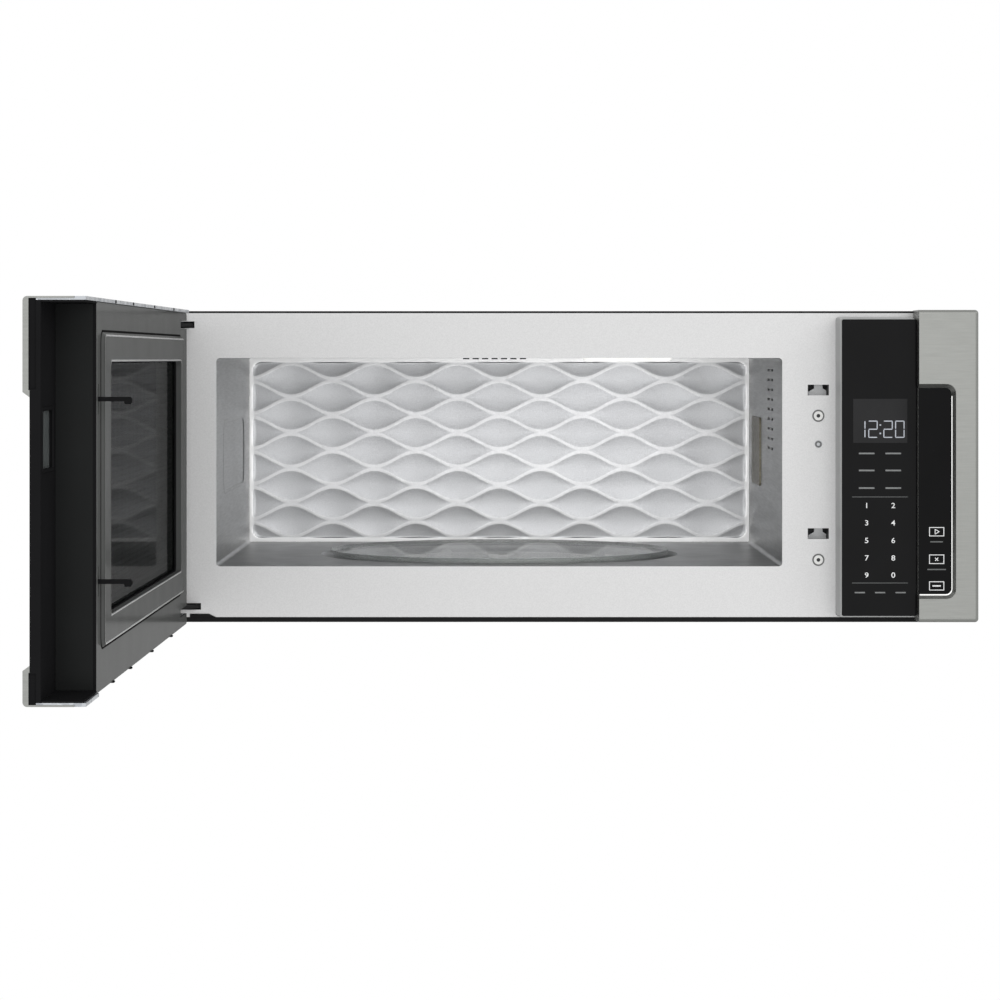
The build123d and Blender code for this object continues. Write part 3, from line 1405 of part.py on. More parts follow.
def make_cooling_fan_motor():
    """Shroud plate with its ring, motor and shaft of the cooling fan."""
    outer = fan_radius + shroud_ring
    inner = fan_radius + shroud_ring / 2
    motor_y = (fan_y + fan_motor_y[0], fan_y + fan_motor_y[1])
    plate_x = (fan_x - shroud_half, half_wrap - sheet)
    plate = block(plate_x, (fan_y, fan_y + shroud), around(fan_z, 2 * shroud_half))
    ring_y = (fan_y - shroud_depth, fan_y + shroud)
    motor = plate + rod_y(fan_x, ring_y, fan_z, outer) - rod_y(fan_x, grown(ring_y, 1), fan_z, inner)
    motor += rod_y(fan_x, motor_y, fan_z, fan_motor_radius)
    motor += rod_y(fan_x, (motor_y[1] - fan_shaft, fan_y - fan_shaft), fan_z, fan_shaft)
    arm_y = (motor_y[1] - fan_arm_sheet, motor_y[1])
    for angle in (30, 150, 270):
        arm = block((fan_motor_radius - fan_shaft, outer), arm_y, around(0, fan_arm))
        arm += block((inner, outer), (arm_y[0], ring_y[0] + 1), around(0, fan_arm))
        motor += Pos(fan_x, 0, fan_z) * Rot(Y=angle) * arm
    return motor


def make_cooling_fan_blade():
    """Axial fan: hub and pitched blades."""
    wheel = rod_y(0, hub_y, 0, hub_radius)
    length = fan_radius - fan_tip_gap - hub_radius + fan_blade_sheet
    blade = Pos(hub_radius - fan_blade_sheet + length / 2, sum(hub_y) / 2, 0) * Rot(X=fan_blade_pitch) * \
        Box(length, fan_blade_sheet, fan_blade_chord)
    for index in range(fan_blades):
        wheel += Rot(Y=360 / fan_blades * index) * blade
    wheel -= rod_y(0, grown(hub_y, 1), 0, fan_shaft + running_clearance)
    return Pos(fan_x, fan_y, fan_z) * wheel


def make_screws():
    """Pan-head screws: two a side through the wrap, one in the front frame."""
    group = rod_y(latch_x, out(-screw_length, 0), frame_screw_z, screw_shank)
    group += rod_y(latch_x, out(0, pan_head_height), frame_screw_z, pan_head_radius)
    group -= rod_y(latch_x, out(pan_head_height - drive_depth, 2), frame_screw_z, screw_shank)
    ends = (front_y + side_screw_ends, -side_screw_ends)
    for side in (-1, 1):
        for y in ends:
            head_x = sorted((side * half_wrap, side * (half_wrap + trim_reveal)))
            group += rod_x(head_x, y, half_height - side_screw_drop, side_screw_radius)
    return group


# ---------------------------------------------------------------- write the pieces
cabinet_pieces = {
    "outer_wrap": make_outer_wrap,
    "back_panel": make_back_panel,
    "base_pan": make_base_pan,
    "front_frame": make_front_frame,
    "oven_cavity": make_oven_cavity,
    "cavity_back_panel": make_cavity_back_panel,
    "waveguide_cover": make_waveguide_cover,
    "cavity_lamp_cover": make_cavity_lamp_cover,
    "cavity_lamp": make_cavity_lamp,
    "left_column": make_left_column,
    "right_trim": make_right_trim,
    "trim_carrier": make_trim_carrier,
    "touch_insert": make_touch_insert,
    "control_bezel": make_control_bezel,
    "control_glass": make_control_glass,
    "display_module": make_display_module,
    "control_board": make_control_board,
    "door_bumpers": make_door_bumpers,
    "latch_block": make_latch_block,
    "interlock_switches": make_interlock_switches,
    "turntable_motor": make_turntable_motor,
    "turntable_tray": make_turntable_tray,
    "drive_coupler": make_drive_coupler,
    "roller_ring": make_roller_ring,
    "exhaust_duct": make_exhaust_duct,
    "damper_flap": make_damper_flap,
    "vent_scroll": make_vent_scroll,
    "vent_motor": make_vent_motor,
    "vent_wheels": make_vent_wheels,
    "grease_filters": make_grease_filters,
    "cooktop_lamp_lenses": make_cooktop_lamp_lenses,
    "cooktop_lamps": make_cooktop_lamps,
    "top_mount_nuts": make_top_mount_nuts,
    "waveguide": make_waveguide,
    "magnetron": make_magnetron,
    "transformer": make_transformer,
    "capacitor": make_capacitor,
    "cooling_fan_motor": make_cooling_fan_motor,
    "cooling_fan_blade": make_cooling_fan_blade,
    "screws": make_screws,
}
door_pieces = {
    "door_skin": make_door_skin,
    "door_moulding": make_door_moulding,
    "door_glass": make_door_glass,
    "door_chassis": make_door_chassis,
    "choke_cover": make_choke_cover,
    "inner_glass": make_inner_glass,
    "door_screen": make_door_screen,
    "end_liner": make_end_liner,
    "display_window": make_display_window,
    "door_bushes": make_door_bushes,
    "latch_bar": make_latch_bar,
    "latch_spring": make_latch_spring,
}

for node, make in cabinet_pieces.items():
    save(node, make())
for node, make in door_pieces.items():
    save(node, opened(make()))
save("upper_hinge", make_hinge(upper_hinge_z, upper_hinge_slot_right, upper_lug_z))
save("lower_hinge", make_hinge(lower_hinge_z, lower_hinge_slot_right, lower_lug_z))
for index in range(roller_count):
    save(f"roller_{index + 1}", make_roller(index))
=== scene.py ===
"""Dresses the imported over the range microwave: finishes, the pressed back wall, graphics and small parts.

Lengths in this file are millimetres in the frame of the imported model, unless a name says otherwise:
+X to the cook's right, +Y back to the wall, +Z up. Shape turns them to metres when a piece is placed.
"""

import logging
from dataclasses import dataclass, field
from enum import Enum
from math import atan2, cos, pi, radians, sin
from typing import Callable, Iterable

import bmesh
import bpy
from mathutils import Matrix, Vector


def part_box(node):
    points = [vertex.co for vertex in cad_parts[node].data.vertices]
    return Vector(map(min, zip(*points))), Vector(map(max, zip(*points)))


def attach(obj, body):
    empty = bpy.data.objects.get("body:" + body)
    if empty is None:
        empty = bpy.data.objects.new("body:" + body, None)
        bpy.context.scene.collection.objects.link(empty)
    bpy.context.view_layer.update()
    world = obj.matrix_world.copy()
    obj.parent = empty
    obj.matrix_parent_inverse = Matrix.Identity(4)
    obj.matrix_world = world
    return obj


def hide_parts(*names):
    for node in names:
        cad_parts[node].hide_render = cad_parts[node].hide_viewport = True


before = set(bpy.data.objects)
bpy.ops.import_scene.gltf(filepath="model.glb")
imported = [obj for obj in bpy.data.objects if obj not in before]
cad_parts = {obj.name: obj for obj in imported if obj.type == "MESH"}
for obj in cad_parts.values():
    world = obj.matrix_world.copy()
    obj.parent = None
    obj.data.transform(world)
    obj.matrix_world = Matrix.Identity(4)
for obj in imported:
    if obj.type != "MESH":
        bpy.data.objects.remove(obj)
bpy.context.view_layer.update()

MM = 0.001
DEPTH_AND_SHINE = "press_depth_and_shine"        # the back wall's own attribute: 0 on a land, 1 in the deepest pan and below 0 on the rim; it sets the painted highlight
RIM_SHINE = 0.1                    # how far below 0 it goes on the flat rim, so that the painted highlight there is brighter than on a land
FIGURE_WEIGHT = 0.006              # how much the printed figures are thickened, for a height of 1
FIGURE_STRETCH = 1.15              # their width against the font's
SHARP_EDGE = 35.0                  # degrees between faces from which an edge stays sharp
Span = tuple[float, float]
Point = tuple[float, float, float]
Pairs = tuple[tuple[float, float], ...]
Tree = bpy.types.NodeTree
Socket = bpy.types.NodeSocket

logging.basicConfig(level=logging.INFO, format="%(message)s")
log = logging.getLogger("microwave")


class Along(Enum):
    """The three directions of the frame."""

    X = 0
    Y = 1
    Z = 2


# ---------------------------------------------------------------- small helpers
def linear(colour: str, alpha: float = 1.0) -> tuple[float, float, float, float]:
    """Turn an sRGB hex colour into linear light.

    Args:
        colour: Six hex digits after a hash sign.
        alpha: The fourth value.

    Returns:
        Red, green, blue and alpha.
    """
    parts = [int(colour[start:start + 2], 16) / 255 for start in (1, 3, 5)]
    light = [part / 12.92 if part <= 0.04045 else ((part + 0.055) / 1.055) ** 2.4 for part in parts]
    return (light[0], light[1], light[2], alpha)


def add(tree: Tree, kind: str, inputs: dict | None = None, **settings: object) -> bpy.types.Node:
    """Add one shader node with its settings and links.

    Args:
        tree: The node tree that gets the node.
        kind: The node's type, without the word ShaderNode.
        inputs: A value, or the output socket to link, by input name or number.
        settings: Attributes of the node.

    Returns:
        The new node.
    """
    node = tree.nodes.new("ShaderNode" + kind)
    for name, value in settings.items():
        setattr(node, name, value)
    for name, value in (inputs or {}).items():
        if isinstance(value, Socket):
            tree.links.new(value, node.inputs[name])
        else:
            node.inputs[name].default_value = value
    return node


def emptied(owner: bpy.types.Material | bpy.types.World) -> Tree:
    """Switch on the nodes of a material or a world, and empty them.

    Args:
        owner: The material or the world.

    Returns:
        Its node tree.
    """
    owner.use_nodes = True
    owner.node_tree.nodes.clear()
    return owner.node_tree


def own_place(tree: Tree) -> Socket:
    """The shaded point in the object's own metres."""
    return add(tree, "TexCoord").outputs["Object"]


def node_box(node: str) -> tuple[Span, Span, Span]:
    """Measure a CAD node at rest.

    Args:
        node: The node's name.

    Returns:
        Its spans along X, Y and Z, in millimetres.
    """
    low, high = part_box(node)
    spans = [(low[axis] / MM, high[axis] / MM) for axis in range(3)]
    return (spans[0], spans[1], spans[2])


def around(centre: float, size: float) -> Span:
    """The low and high values of a size about its centre."""
    return (centre - size / 2, centre + size / 2)


def grown(span: Span, by: float) -> Span:
    """A span made longer at both ends."""
    return (span[0] - by, span[1] + by)


# ---------------------------------------------------------------- finishes
@dataclass(frozen=True)
class Finish:
    """What every surface finish has: a plain name, a main colour and a roughness."""

    name: str
    colour: str
    roughness: float

    def material(self) -> bpy.types.Material:
        """Make this finish's material once, to be shared by its pieces.

        Returns:
            The material.
        """
        known = bpy.data.materials.get(self.name)
        if known:
            return known
        made = bpy.data.materials.new(self.name)
        tree = emptied(made)
        shader = add(tree, "BsdfPrincipled", self.surface(tree))
        add(tree, "OutputMaterial", {"Surface": shader.outputs[0]})
        return made

    def surface(self, tree: Tree) -> dict:
        """Return the shader's inputs; each kind of finish has its own."""
        return {"Base Color": linear(self.colour), "Roughness": self.roughness}

    def grain(self, tree: Tree, size: Point | float, detail: float = 2.0) -> Socket:
        """Add a noise whose features have a real size.

        Args:
            tree: The material's node tree.
            size: Feature size in millimetres, one for all or one each along X, Y and Z.
            detail: Octaves of finer noise.

        Returns:
            The noise, from 0 to 1.
        """
        lengths = size if isinstance(size, tuple) else (size,) * 3
        scale = tuple(1000.0 / length for length in lengths)
        turned = add(tree, "Mapping", {"Vector": own_place(tree), "Scale": scale}).outputs[0]
        return add(tree, "TexNoise", {"Vector": turned, "Scale": 1.0, "Detail": detail}).outputs[0]

    def between(self, tree: Tree, factor: Socket, low: float, high: float,
                window: Span = (0.3, 0.7)) -> Socket:
        """Spread a noise over a range.

        Args:
            tree: The material's node tree.
            factor: The noise.
            low: Result at the window's low end.
            high: Result at the window's high end.
            window: The part of the noise that is spread.

        Returns:
            The value.
        """
        spread = add(tree, "MapRange", {0: factor, 1: window[0], 2: window[1], 3: low, 4: high})
        return spread.outputs[0]

    def tinted(self, tree: Tree, value: Socket) -> Socket:
        """The main colour, lighter or darker by a value about one."""
        return add(tree, "HueSaturation", {"Color": linear(self.colour), "Value": value}).outputs[0]

    def mixed(self, tree: Tree, factor: Socket, first: object, second: object) -> Socket:
        """Mix two colours by a factor, 0 for the first and 1 for the second, and return the colour."""
        mix = add(tree, "Mix", {0: factor, 6: first, 7: second}, data_type="RGBA")
        return mix.outputs[2]

    def bumped(self, tree: Tree, height: Socket, depth: float, strength: float = 0.5) -> Socket:
        """Raise the surface by a height map.

        Args:
            tree: The material's node tree.
            height: The height map, from 0 to 1.
            depth: How high 1 stands, in millimetres.
            strength: How much of that shows.

        Returns:
            The normal.
        """
        bump = add(tree, "Bump", {"Height": height, "Distance": depth * MM, "Strength": strength})
        return bump.outputs[0]


@dataclass(frozen=True)
class BrushedSteel(Finish):
    """Stainless sheet brushed with an abrasive belt, so that it carries long fine scratches one way."""

    shade: str
    stroke: Point
    contrast: float = 0.5
    relief: float = 0.02
    cloud: float = 90.0            # size of the slow clouds

    def surface(self, tree: Tree) -> dict:
        """Streaks in colour, roughness and relief along the brushing, and a broad cloudiness.

        Args:
            tree: The material's node tree.

        Returns:
            The shader's inputs by name.
        """
        streaks = self.grain(tree, self.stroke, 3.0)
        clouds = self.grain(tree, self.cloud, 1.0)
        both = add(tree, "Math", {0: streaks, 1: clouds}, operation="ADD").outputs[0]
        factor = self.between(tree, both, 0.0, self.contrast, (0.75, 1.25))
        return {
            "Base Color": self.mixed(tree, factor, linear(self.colour), linear(self.shade)),
            "Metallic": 1.0,
            "Roughness": self.between(tree, streaks, self.roughness - 0.03, self.roughness + 0.04),
            "Normal": self.bumped(tree, streaks, self.relief),
        }


@dataclass(frozen=True)
class CoatedSheet(Finish):
    """Steel sheet with a baked paint or powder coat: even colour, a slight orange peel and fine specks."""

    shade: str
    peel: float = 1.2
    speck: float = 0.9
    relief: float = 0.012
    gloss: float = 0.5

    def surface(self, tree: Tree) -> dict:
        """Fine specks in the colour, soft orange peel in the relief.

        Args:
            tree: The material's node tree.

        Returns:
            The shader's inputs by name.
        """
        specks = self.grain(tree, self.speck)
        peel = self.grain(tree, self.peel * 2, 1.0)
        factor = self.between(tree, specks, 0.0, 1.0)
        return {
            "Base Color": self.mixed(tree, factor, linear(self.colour), linear(self.shade)),
            "Roughness": self.between(tree, peel, self.roughness - 0.04, self.roughness + 0.06),
            "Specular IOR Level": self.gloss,
            "Normal": self.bumped(tree, peel, self.relief),
        }


@dataclass(frozen=True)
class PressedSteel(Finish):
    """Satin stainless after deep pressing: the grain is stretched out and only a fine frosting is left."""

    shade: str
    frost: float = 1.1
    cloud: Point = (60.0, 60.0, 25.0)

    def surface(self, tree: Tree) -> dict:
        """A fine frosting with slow, faint clouds.

        Args:
            tree: The material's node tree.

        Returns:
            The shader's inputs by name.
        """
        frost = self.grain(tree, self.frost, 3.0)
        clouds = self.grain(tree, self.cloud)
        both = add(tree, "Math", {0: frost, 1: clouds}, operation="ADD").outputs[0]
        factor = self.between(tree, both, 0.0, 1.0, (0.7, 1.3))
        return {
            "Base Color": self.mixed(tree, factor, linear(self.colour), linear(self.shade)),
            "Metallic": 1.0,
            "Roughness": self.between(tree, frost, self.roughness - 0.05, self.roughness + 0.05),
            "Normal": self.bumped(tree, frost, 0.01, 0.4),
        }


@dataclass(frozen=True)
class PressedWallSteel(PressedSteel):
    """The same steel, with a painted highlight that makes the flat lands between the frosted pans, and the
    rim, bright.
    """

    # Colour of the painted highlight on the lands and the rim.
    land_highlight: str = "#FAFAFA"
    highlight_reach: float = 0.07       # share of a pan's depth over which the painted highlight of a land fades

    def surface(self, tree: Tree) -> dict:
        """Frosted pans with a painted highlight that brightens them towards the lands and the rim, by the
        value stored on the mesh.

        Args:
            tree: The material's node tree.

        Returns:
            The shader's inputs by name.
        """
        inputs = super().surface(tree)
        depth = add(tree, "Attribute", attribute_name=DEPTH_AND_SHINE).outputs["Fac"]
        share = self.between(tree, depth, 1.0, 0.0, (-RIM_SHINE, self.highlight_reach))
        inputs["Base Color"] = self.mixed(tree, share, inputs["Base Color"], linear(self.land_highlight))
        return inputs


@dataclass(frozen=True)
class Galvanised(Finish):
    """Hot-dip zinc coated sheet: flat crystals of slightly different grey, called spangle."""

    shade: str
    spangle: float = 7.0           # size of a crystal
    etch: float = 2.5              # size of the unevenness inside one

    def surface(self, tree: Tree) -> dict:
        """Each crystal has its own shade and gloss.

        Args:
            tree: The material's node tree.

        Returns:
            The shader's inputs by name.
        """
        cells = add(tree, "TexVoronoi", {"Vector": own_place(tree), "Scale": 1000.0 / self.spangle})
        factor = self.between(tree, cells.outputs["Color"], 0.0, 1.0, (0.1, 0.9))
        return {
            "Base Color": self.mixed(tree, factor, linear(self.colour), linear(self.shade)),
            "Metallic": 1.0,
            "Roughness": self.between(tree, factor, self.roughness - 0.06, self.roughness + 0.08,
                                      (0.0, 1.0)),
            "Normal": self.bumped(tree, self.grain(tree, self.etch), 0.01, 0.3),
        }


@dataclass(frozen=True)
class Moulded(Finish):
    """Injection moulded plastic with the fine spark-eroded grain of its tool."""

    texture: float = 0.8
    relief: float = 0.015
    gloss: float = 0.5
    skin: float = 0.0              # share of a smooth moulded skin over the body
    wipe: float = 45.0             # size of the patches where hands and cloths have been

    def surface(self, tree: Tree) -> dict:
        """A fine even grain, with a slightly uneven gloss.

        Args:
            tree: The material's node tree.

        Returns:
            The shader's inputs by name.
        """
        texture = self.grain(tree, self.texture)
        wiped = self.grain(tree, self.wipe)
        return {
            "Base Color": self.tinted(tree, self.between(tree, wiped, 0.94, 1.06)),
            "Roughness": self.between(tree, wiped, self.roughness - 0.04, self.roughness + 0.05),
            "Specular IOR Level": self.gloss,
            "Coat Weight": self.skin,
            "Coat Roughness": self.roughness / 2,
            "Normal": self.bumped(tree, texture, self.relief),
        }


@dataclass(frozen=True)
class OpaqueGlass(Finish):
    """Float glass printed black on its rear face: a flat mirror-smooth front over a deep black."""

    gloss: float = 0.5
    wipe: float = 30.0             # size of the patches of film

    def surface(self, tree: Tree) -> dict:
        """Nearly even black, with a faint film where fingers and cloths have been.

        Args:
            tree: The material's node tree.

        Returns:
            The shader's inputs by name.
        """
        film = self.grain(tree, self.wipe, 3.0)
        return {
            "Base Color": self.tinted(tree, self.between(tree, film, 0.9, 1.15)),
            "Roughness": self.between(tree, film, self.roughness, self.roughness + 0.05),
            "Specular IOR Level": self.gloss,
            "IOR": 1.52,
        }


@dataclass(frozen=True)
class ClearGlass(Finish):
    """Clear tempered soda-lime glass, green only at its edges, with a trace of wash film."""

    body: float = 1.0              # how much of the pane stands in the way, for one over a dark screen
    gloss: float = 0.5
    skin: float = 0.0              # share of a mirror film over the pane
    wipe: float = 25.0             # size of the patches of film

    def surface(self, tree: Tree) -> dict:
        """A clear body whose roughness wanders a little.

        Args:
            tree: The material's node tree.

        Returns:
            The shader's inputs by name.
        """
        film = self.grain(tree, self.wipe)
        return {
            "Base Color": linear(self.colour),
            "Roughness": self.between(tree, film, self.roughness, self.roughness + 0.03),
            "Transmission Weight": 1.0 if self.body == 1.0 else 0.0,
            "Alpha": self.body,
            "IOR": 1.5,
            "Specular IOR Level": self.gloss,
            "Coat Weight": self.skin,
            "Coat Roughness": 0.03,
        }


@dataclass(frozen=True)
class Wound(Finish):
    """Enamelled copper wire in layers on a bobbin: close round turns, each with its own highlight."""

    pitch: float = 1.6
    across: Along = Along.Z
    # Colour in the grooves between the turns, painted shade.
    groove_shade: str = "#4A2410"

    def surface(self, tree: Tree) -> dict:
        """Ridges one wire wide; the colour darkens into the grooves between the turns as painted shade.

        Args:
            tree: The material's node tree.

        Returns:
            The shader's inputs by name.
        """
        turns = add(tree, "TexWave", {"Vector": own_place(tree), "Scale": 1000.0 / self.pitch / (2 * pi)},
                    bands_direction=self.across.name).outputs["Fac"]
        uneven = self.grain(tree, 3.0)
        return {
            "Base Color": self.mixed(tree, turns, linear(self.groove_shade), linear(self.colour)),
            "Metallic": 0.6,
            "Roughness": self.between(tree, uneven, self.roughness, self.roughness + 0.1),
            "Normal": self.bumped(tree, turns, 0.4),
        }


@dataclass(frozen=True)
class BoardLaminate(Finish):
    """Glass-fibre circuit board under green solder mask, with the copper tracks showing as lighter lines."""

    shade: str = "#0F4A22"
    track: str = "#3C8C50"
    density: float = 260.0         # rows of tracks to a metre, by the texture's scale

    def surface(self, tree: Tree) -> dict:
        """Blocks of parallel tracks under the mask.

        Args:
            tree: The material's node tree.

        Returns:
            The shader's inputs by name.
        """
        tracks = add(tree, "TexBrick", {"Vector": own_place(tree), "Scale": self.density, "Mortar Size": 0.03,
                                        "Color1": linear(self.colour), "Color2": linear(self.shade),
                                        "Mortar": linear(self.track)})
        uneven = self.grain(tree, 6.0)
        return {
            "Base Color": tracks.outputs["Color"],
            "Roughness": self.between(tree, uneven, self.roughness, self.roughness + 0.1),
            "Normal": self.bumped(tree, tracks.outputs["Fac"], 0.05),
        }


@dataclass(frozen=True)
class MicaSheet(Finish):
    """Pressed mica paper: flakes of slightly different tan, with a soft pearly gloss."""

    shade: str
    flake: float = 3.0             # size of a flake

    def surface(self, tree: Tree) -> dict:
        """Overlapping flakes.

        Args:
            tree: The material's node tree.

        Returns:
            The shader's inputs by name.
        """
        flakes = add(tree, "TexVoronoi", {"Vector": own_place(tree), "Scale": 1000.0 / self.flake})
        factor = self.between(tree, flakes.outputs["Color"], 0.0, 1.0, (0.0, 1.0))
        return {
            "Base Color": self.mixed(tree, factor, linear(self.colour), linear(self.shade)),
            "Roughness": self.between(tree, factor, self.roughness, self.roughness + 0.12, (0.0, 1.0)),
            "Normal": self.bumped(tree, factor, 0.03, 0.4),
        }


@dataclass(frozen=True)
class Lit(Finish):
    """Marks behind the glass that give a little light of their own: lit segments and lamp lenses, and printed
    marks whose glow is painted light.
    """

    strength: float = 0.6
    patch: float = 2.5             # size of the uneven places

    def surface(self, tree: Tree) -> dict:
        """Light that varies slightly from one end of a mark to the other.

        Args:
            tree: The material's node tree.

        Returns:
            The shader's inputs by name.
        """
        uneven = self.grain(tree, self.patch, 1.0)
        dimmer = self.tinted(tree, self.between(tree, uneven, 0.9, 1.08))
        return {"Base Color": dimmer, "Roughness": self.roughness, "Emission Color": dimmer,
                "Emission Strength": self.strength}


# Brushed 430 stainless of the door and the fixed trims: long level scratches draw a highlight out sideways.
# They are about 0.3 mm apart on the real sheet, and are drawn 0.9 mm apart so that they show at this size.
TRIM_STEEL = BrushedSteel("brushed_stainless", "#878885", 0.36, shade="#80817E", stroke=(22.0, 22.0, 0.9),
                          contrast=0.5, relief=0.006)
# Stainless with a satin belt finish, folded into the cavity: soft cloudy reflections, brushed front to back.
CAVITY_STEEL = BrushedSteel("satin_cavity_stainless", "#ABACAC", 0.36, shade="#979898",
                            stroke=(26.0, 30.0, 1.6), contrast=0.5)
# Rims of the punched holes: the same steel, drawn dark as painted shade.
SHADED_LANCE_STEEL = PressedSteel("punched_hole_rims_in_shade", "#3A3B3B", 0.5, shade="#2E2F2F")
# The back wall is the same steel after pressing, so it looks frosted; its lands and rim are drawn brighter as
# a painted highlight.
WALL_STEEL = PressedWallSteel("pressed_cavity_stainless", "#CFD0D2", 0.38, shade="#C4C5C7")
# Baked pale grey paint of the front frame: satin, with fine darker specks.
FRAME_PAINT = CoatedSheet("pale_grey_baked_paint", "#E8E8E8", 0.42, shade="#DFDFDF")
# Black powder coat of the wrap and the base: a fine orange peel that softens reflections.
BLACK_POWDER = CoatedSheet("black_powder_coat", "#0E0E0F", 0.5, shade="#0A0A0B", peel=1.8, speck=1.2,
                           relief=0.03, gloss=0.15)
# Hot-dip galvanised sheet of the back, the duct and the blower's housing: a patchwork of dull crystals.
ZINC_SHEET = Galvanised("galvanised_sheet", "#B4B7BA", 0.38, shade="#9A9DA1")
# Zinc plated steel of motor cans, brackets and screws: fine matt grey.
PLATED_STEEL = PressedSteel("zinc_plated_steel", "#A6A8AA", 0.4, shade="#8E9092", frost=1.6)
# Hinge plates are stamped and dipped black against rust: dull, with a faint skin.
HINGE_STEEL = CoatedSheet("black_dipped_hinge_steel", "#161617", 0.45, shade="#101011", peel=1.5, speck=1.0,
                          relief=0.02, gloss=0.2)
# Drawn spring wire: smooth and bright from the die.
SPRING_WIRE = PressedSteel("bright_drawn_steel", "#C4C6C8", 0.22, shade="#B0B2B4", frost=0.6)
# The latch levers are plain stamped strip, left bright.
LEVER_STEEL = PressedSteel("stamped_lever_steel", "#E2E3E4", 0.5, shade="#D2D3D4", frost=0.8)
# Bare aluminium of the grease filters: pale and soft, with small scratches from washing.
FILTER_ALUMINIUM = PressedSteel("aluminium_filter_mesh", "#B8BABC", 0.35, shade="#A0A2A4", frost=0.8)
# Float glass printed black behind: a clear gloss over even black, on the controls and the door's front.
PANEL_GLASS = OpaqueGlass("black_printed_glass", "#0E0E0F", 0.06, gloss=0.07)
# The touch strip is the same glass over a slightly deeper print.
TOUCH_GLASS = OpaqueGlass("black_key_glass", "#0B0B0C", 0.06, gloss=0.05)
# Black ABS of the door's end and edge mouldings: a spark-eroded grain that hides marks.
LINER_PLASTIC = Moulded("black_grained_plastic", "#1C1C1D", 0.5, texture=0.9, relief=0.02,
                        gloss=0.0, skin=0.02)
# The step of the end liner is moulded smoother than the rest; it faces the light and is drawn a little
# lighter, as painted light.
LIGHTER_STEP_PLASTIC = Moulded("black_step_plastic_painted_light", "#252626", 0.45, texture=1.2, relief=0.006,
                       gloss=0.0, skin=0.04)
# The groove round the raised panel of the cover lies in its own shadow, so it is drawn darker.
GROOVE_PLASTIC = Moulded("dark_groove_plastic", "#1B1B1B", 0.5, texture=1.0, relief=0.01,
                         gloss=0.0, skin=0.02)
# Grey polypropylene of the choke cover: moulded smooth, so it mirrors softly at a low angle.
COVER_PLASTIC = Moulded("grey_gloss_plastic", "#555655", 0.3, texture=1.5, relief=0.004, gloss=0.0, skin=0.2)
# The rounded rims of the same moulding are glossier, and drawn a little lighter than the cover as a painted
# highlight.
RIM_HIGHLIGHT_PLASTIC = Moulded("polished_grey_rim_highlight", "#5E5F5D", 0.18, texture=2.0, relief=0.002, gloss=0.1, skin=0.28)
# Flat grey rings round the buffers and the screw: painted shade, matt.
SHADE_RING_RUBBER = Moulded("grey_shade_ring", "#6F7070", 0.6, texture=0.6, relief=0.01, gloss=0.2)
# Mid grey ABS of the control bezel: satin, with a fine even grain.
BEZEL_PLASTIC = Moulded("mid_grey_satin_plastic", "#A3A4A4", 0.38, texture=0.8, relief=0.01, gloss=0.45)
# White nylon of the buffers and bushes: clean white with a waxy gloss.
NYLON = Moulded("white_nylon", "#FBFBFA", 0.4, texture=0.7, relief=0.008)
# Off-white heat-proof plastic of the roller ring and the drive: duller and a little warm.
RING_PLASTIC = Moulded("off_white_ring_plastic", "#DEDDD8", 0.45, texture=0.9, relief=0.012, gloss=0.45)
# Glass-filled nylon of switches, latch block and fan: dark, with a rougher grain.
DARK_PLASTIC = Moulded("dark_technical_plastic", "#202124", 0.5, texture=1.0, relief=0.02, gloss=0.4)
# Clear tempered glass over the hood's lamps.
CLEAR_PANE = ClearGlass("clear_tempered_glass", "#F4FAF7", 0.0)
# The door's inner pane is clear glass, drawn dark and partly opaque: partly the black screen close behind it,
# partly painted shade of the deep window recess.
DOOR_PANE = ClearGlass("door_inner_glass", "#0C0E0D", 0.02, body=0.65, gloss=0.0, skin=0.24)
# Pressed soda-lime glass of the turntable: clear with a grey-green body at its rim.
TRAY_GLASS = ClearGlass("turntable_glass", "#AAB2AE", 0.03, body=0.45)
# Smoked acrylic of the small window in the door's end: grey, smooth and glossy.
SMOKED_PANE = Moulded("grey_smoked_pane", "#5A5E5E", 0.2, texture=2.0, relief=0.002, gloss=0.4)
# Black enamel on the perforated screen: dull, so that the food and not the screen is seen.
SCREEN_STEEL = CoatedSheet("black_enamelled_screen", "#0E0E0F", 0.45, shade="#0A0A0B", peel=1.0, speck=3.0,
                           relief=0.02, gloss=0.1)
# Enamelled copper wire in layers on the transformer: fine ridges, with painted shade in the grooves between
# them.
WINDING = Wound("enamelled_copper_winding", "#B5652B", 0.3)
# Glass-fibre laminate under green solder mask.
BOARD = BoardLaminate("green_circuit_board", "#14552A", 0.35)
# Pressed mica paper of the waveguide's cover: tan flakes.
MICA = MicaSheet("pressed_mica", "#BDB6A2", 0.35, shade="#A49C86")
# Light-emitting segments behind the black glass.
DISPLAY_LIGHT = Lit("display_segments", "#A8ACB4", 0.3, strength=0.27)
# White ceramic print, fired on the glass; its glow is painted light.
LEGEND_WHITE = Lit("printed_legends_painted_glow", "#D0D1D1", 0.4, strength=0.4)
# The same print in thin strokes, which look grey, with a fainter painted glow.
LEGEND_DIM = Lit("printed_word_bars_painted_glow", "#717373", 0.4, strength=0.2)
# Grey print of the hairlines and notes, with a faint painted glow.
LEGEND_FAINT = Lit("printed_dividers_painted_glow", "#555757", 0.4, strength=0.15)
# Opal glass of the cavity lamp, lit from behind while the door stands open.
LAMP_LENS = Lit("lit_lamp_lens", "#F4F4F0", 0.4, strength=0.75)
# The lips of the right trim are buffed steel, drawn near white as a painted highlight.
EDGE_HIGHLIGHT_STEEL = PressedSteel("polished_steel_edge_highlight", "#F0F0EE", 0.12, shade="#E6E6E4", frost=1.0)
# The display's film shows dark grey through the black glass.
DISPLAY_FIELD = OpaqueGlass("grey_display_field", "#2A2A2B", 0.12, gloss=0.07)

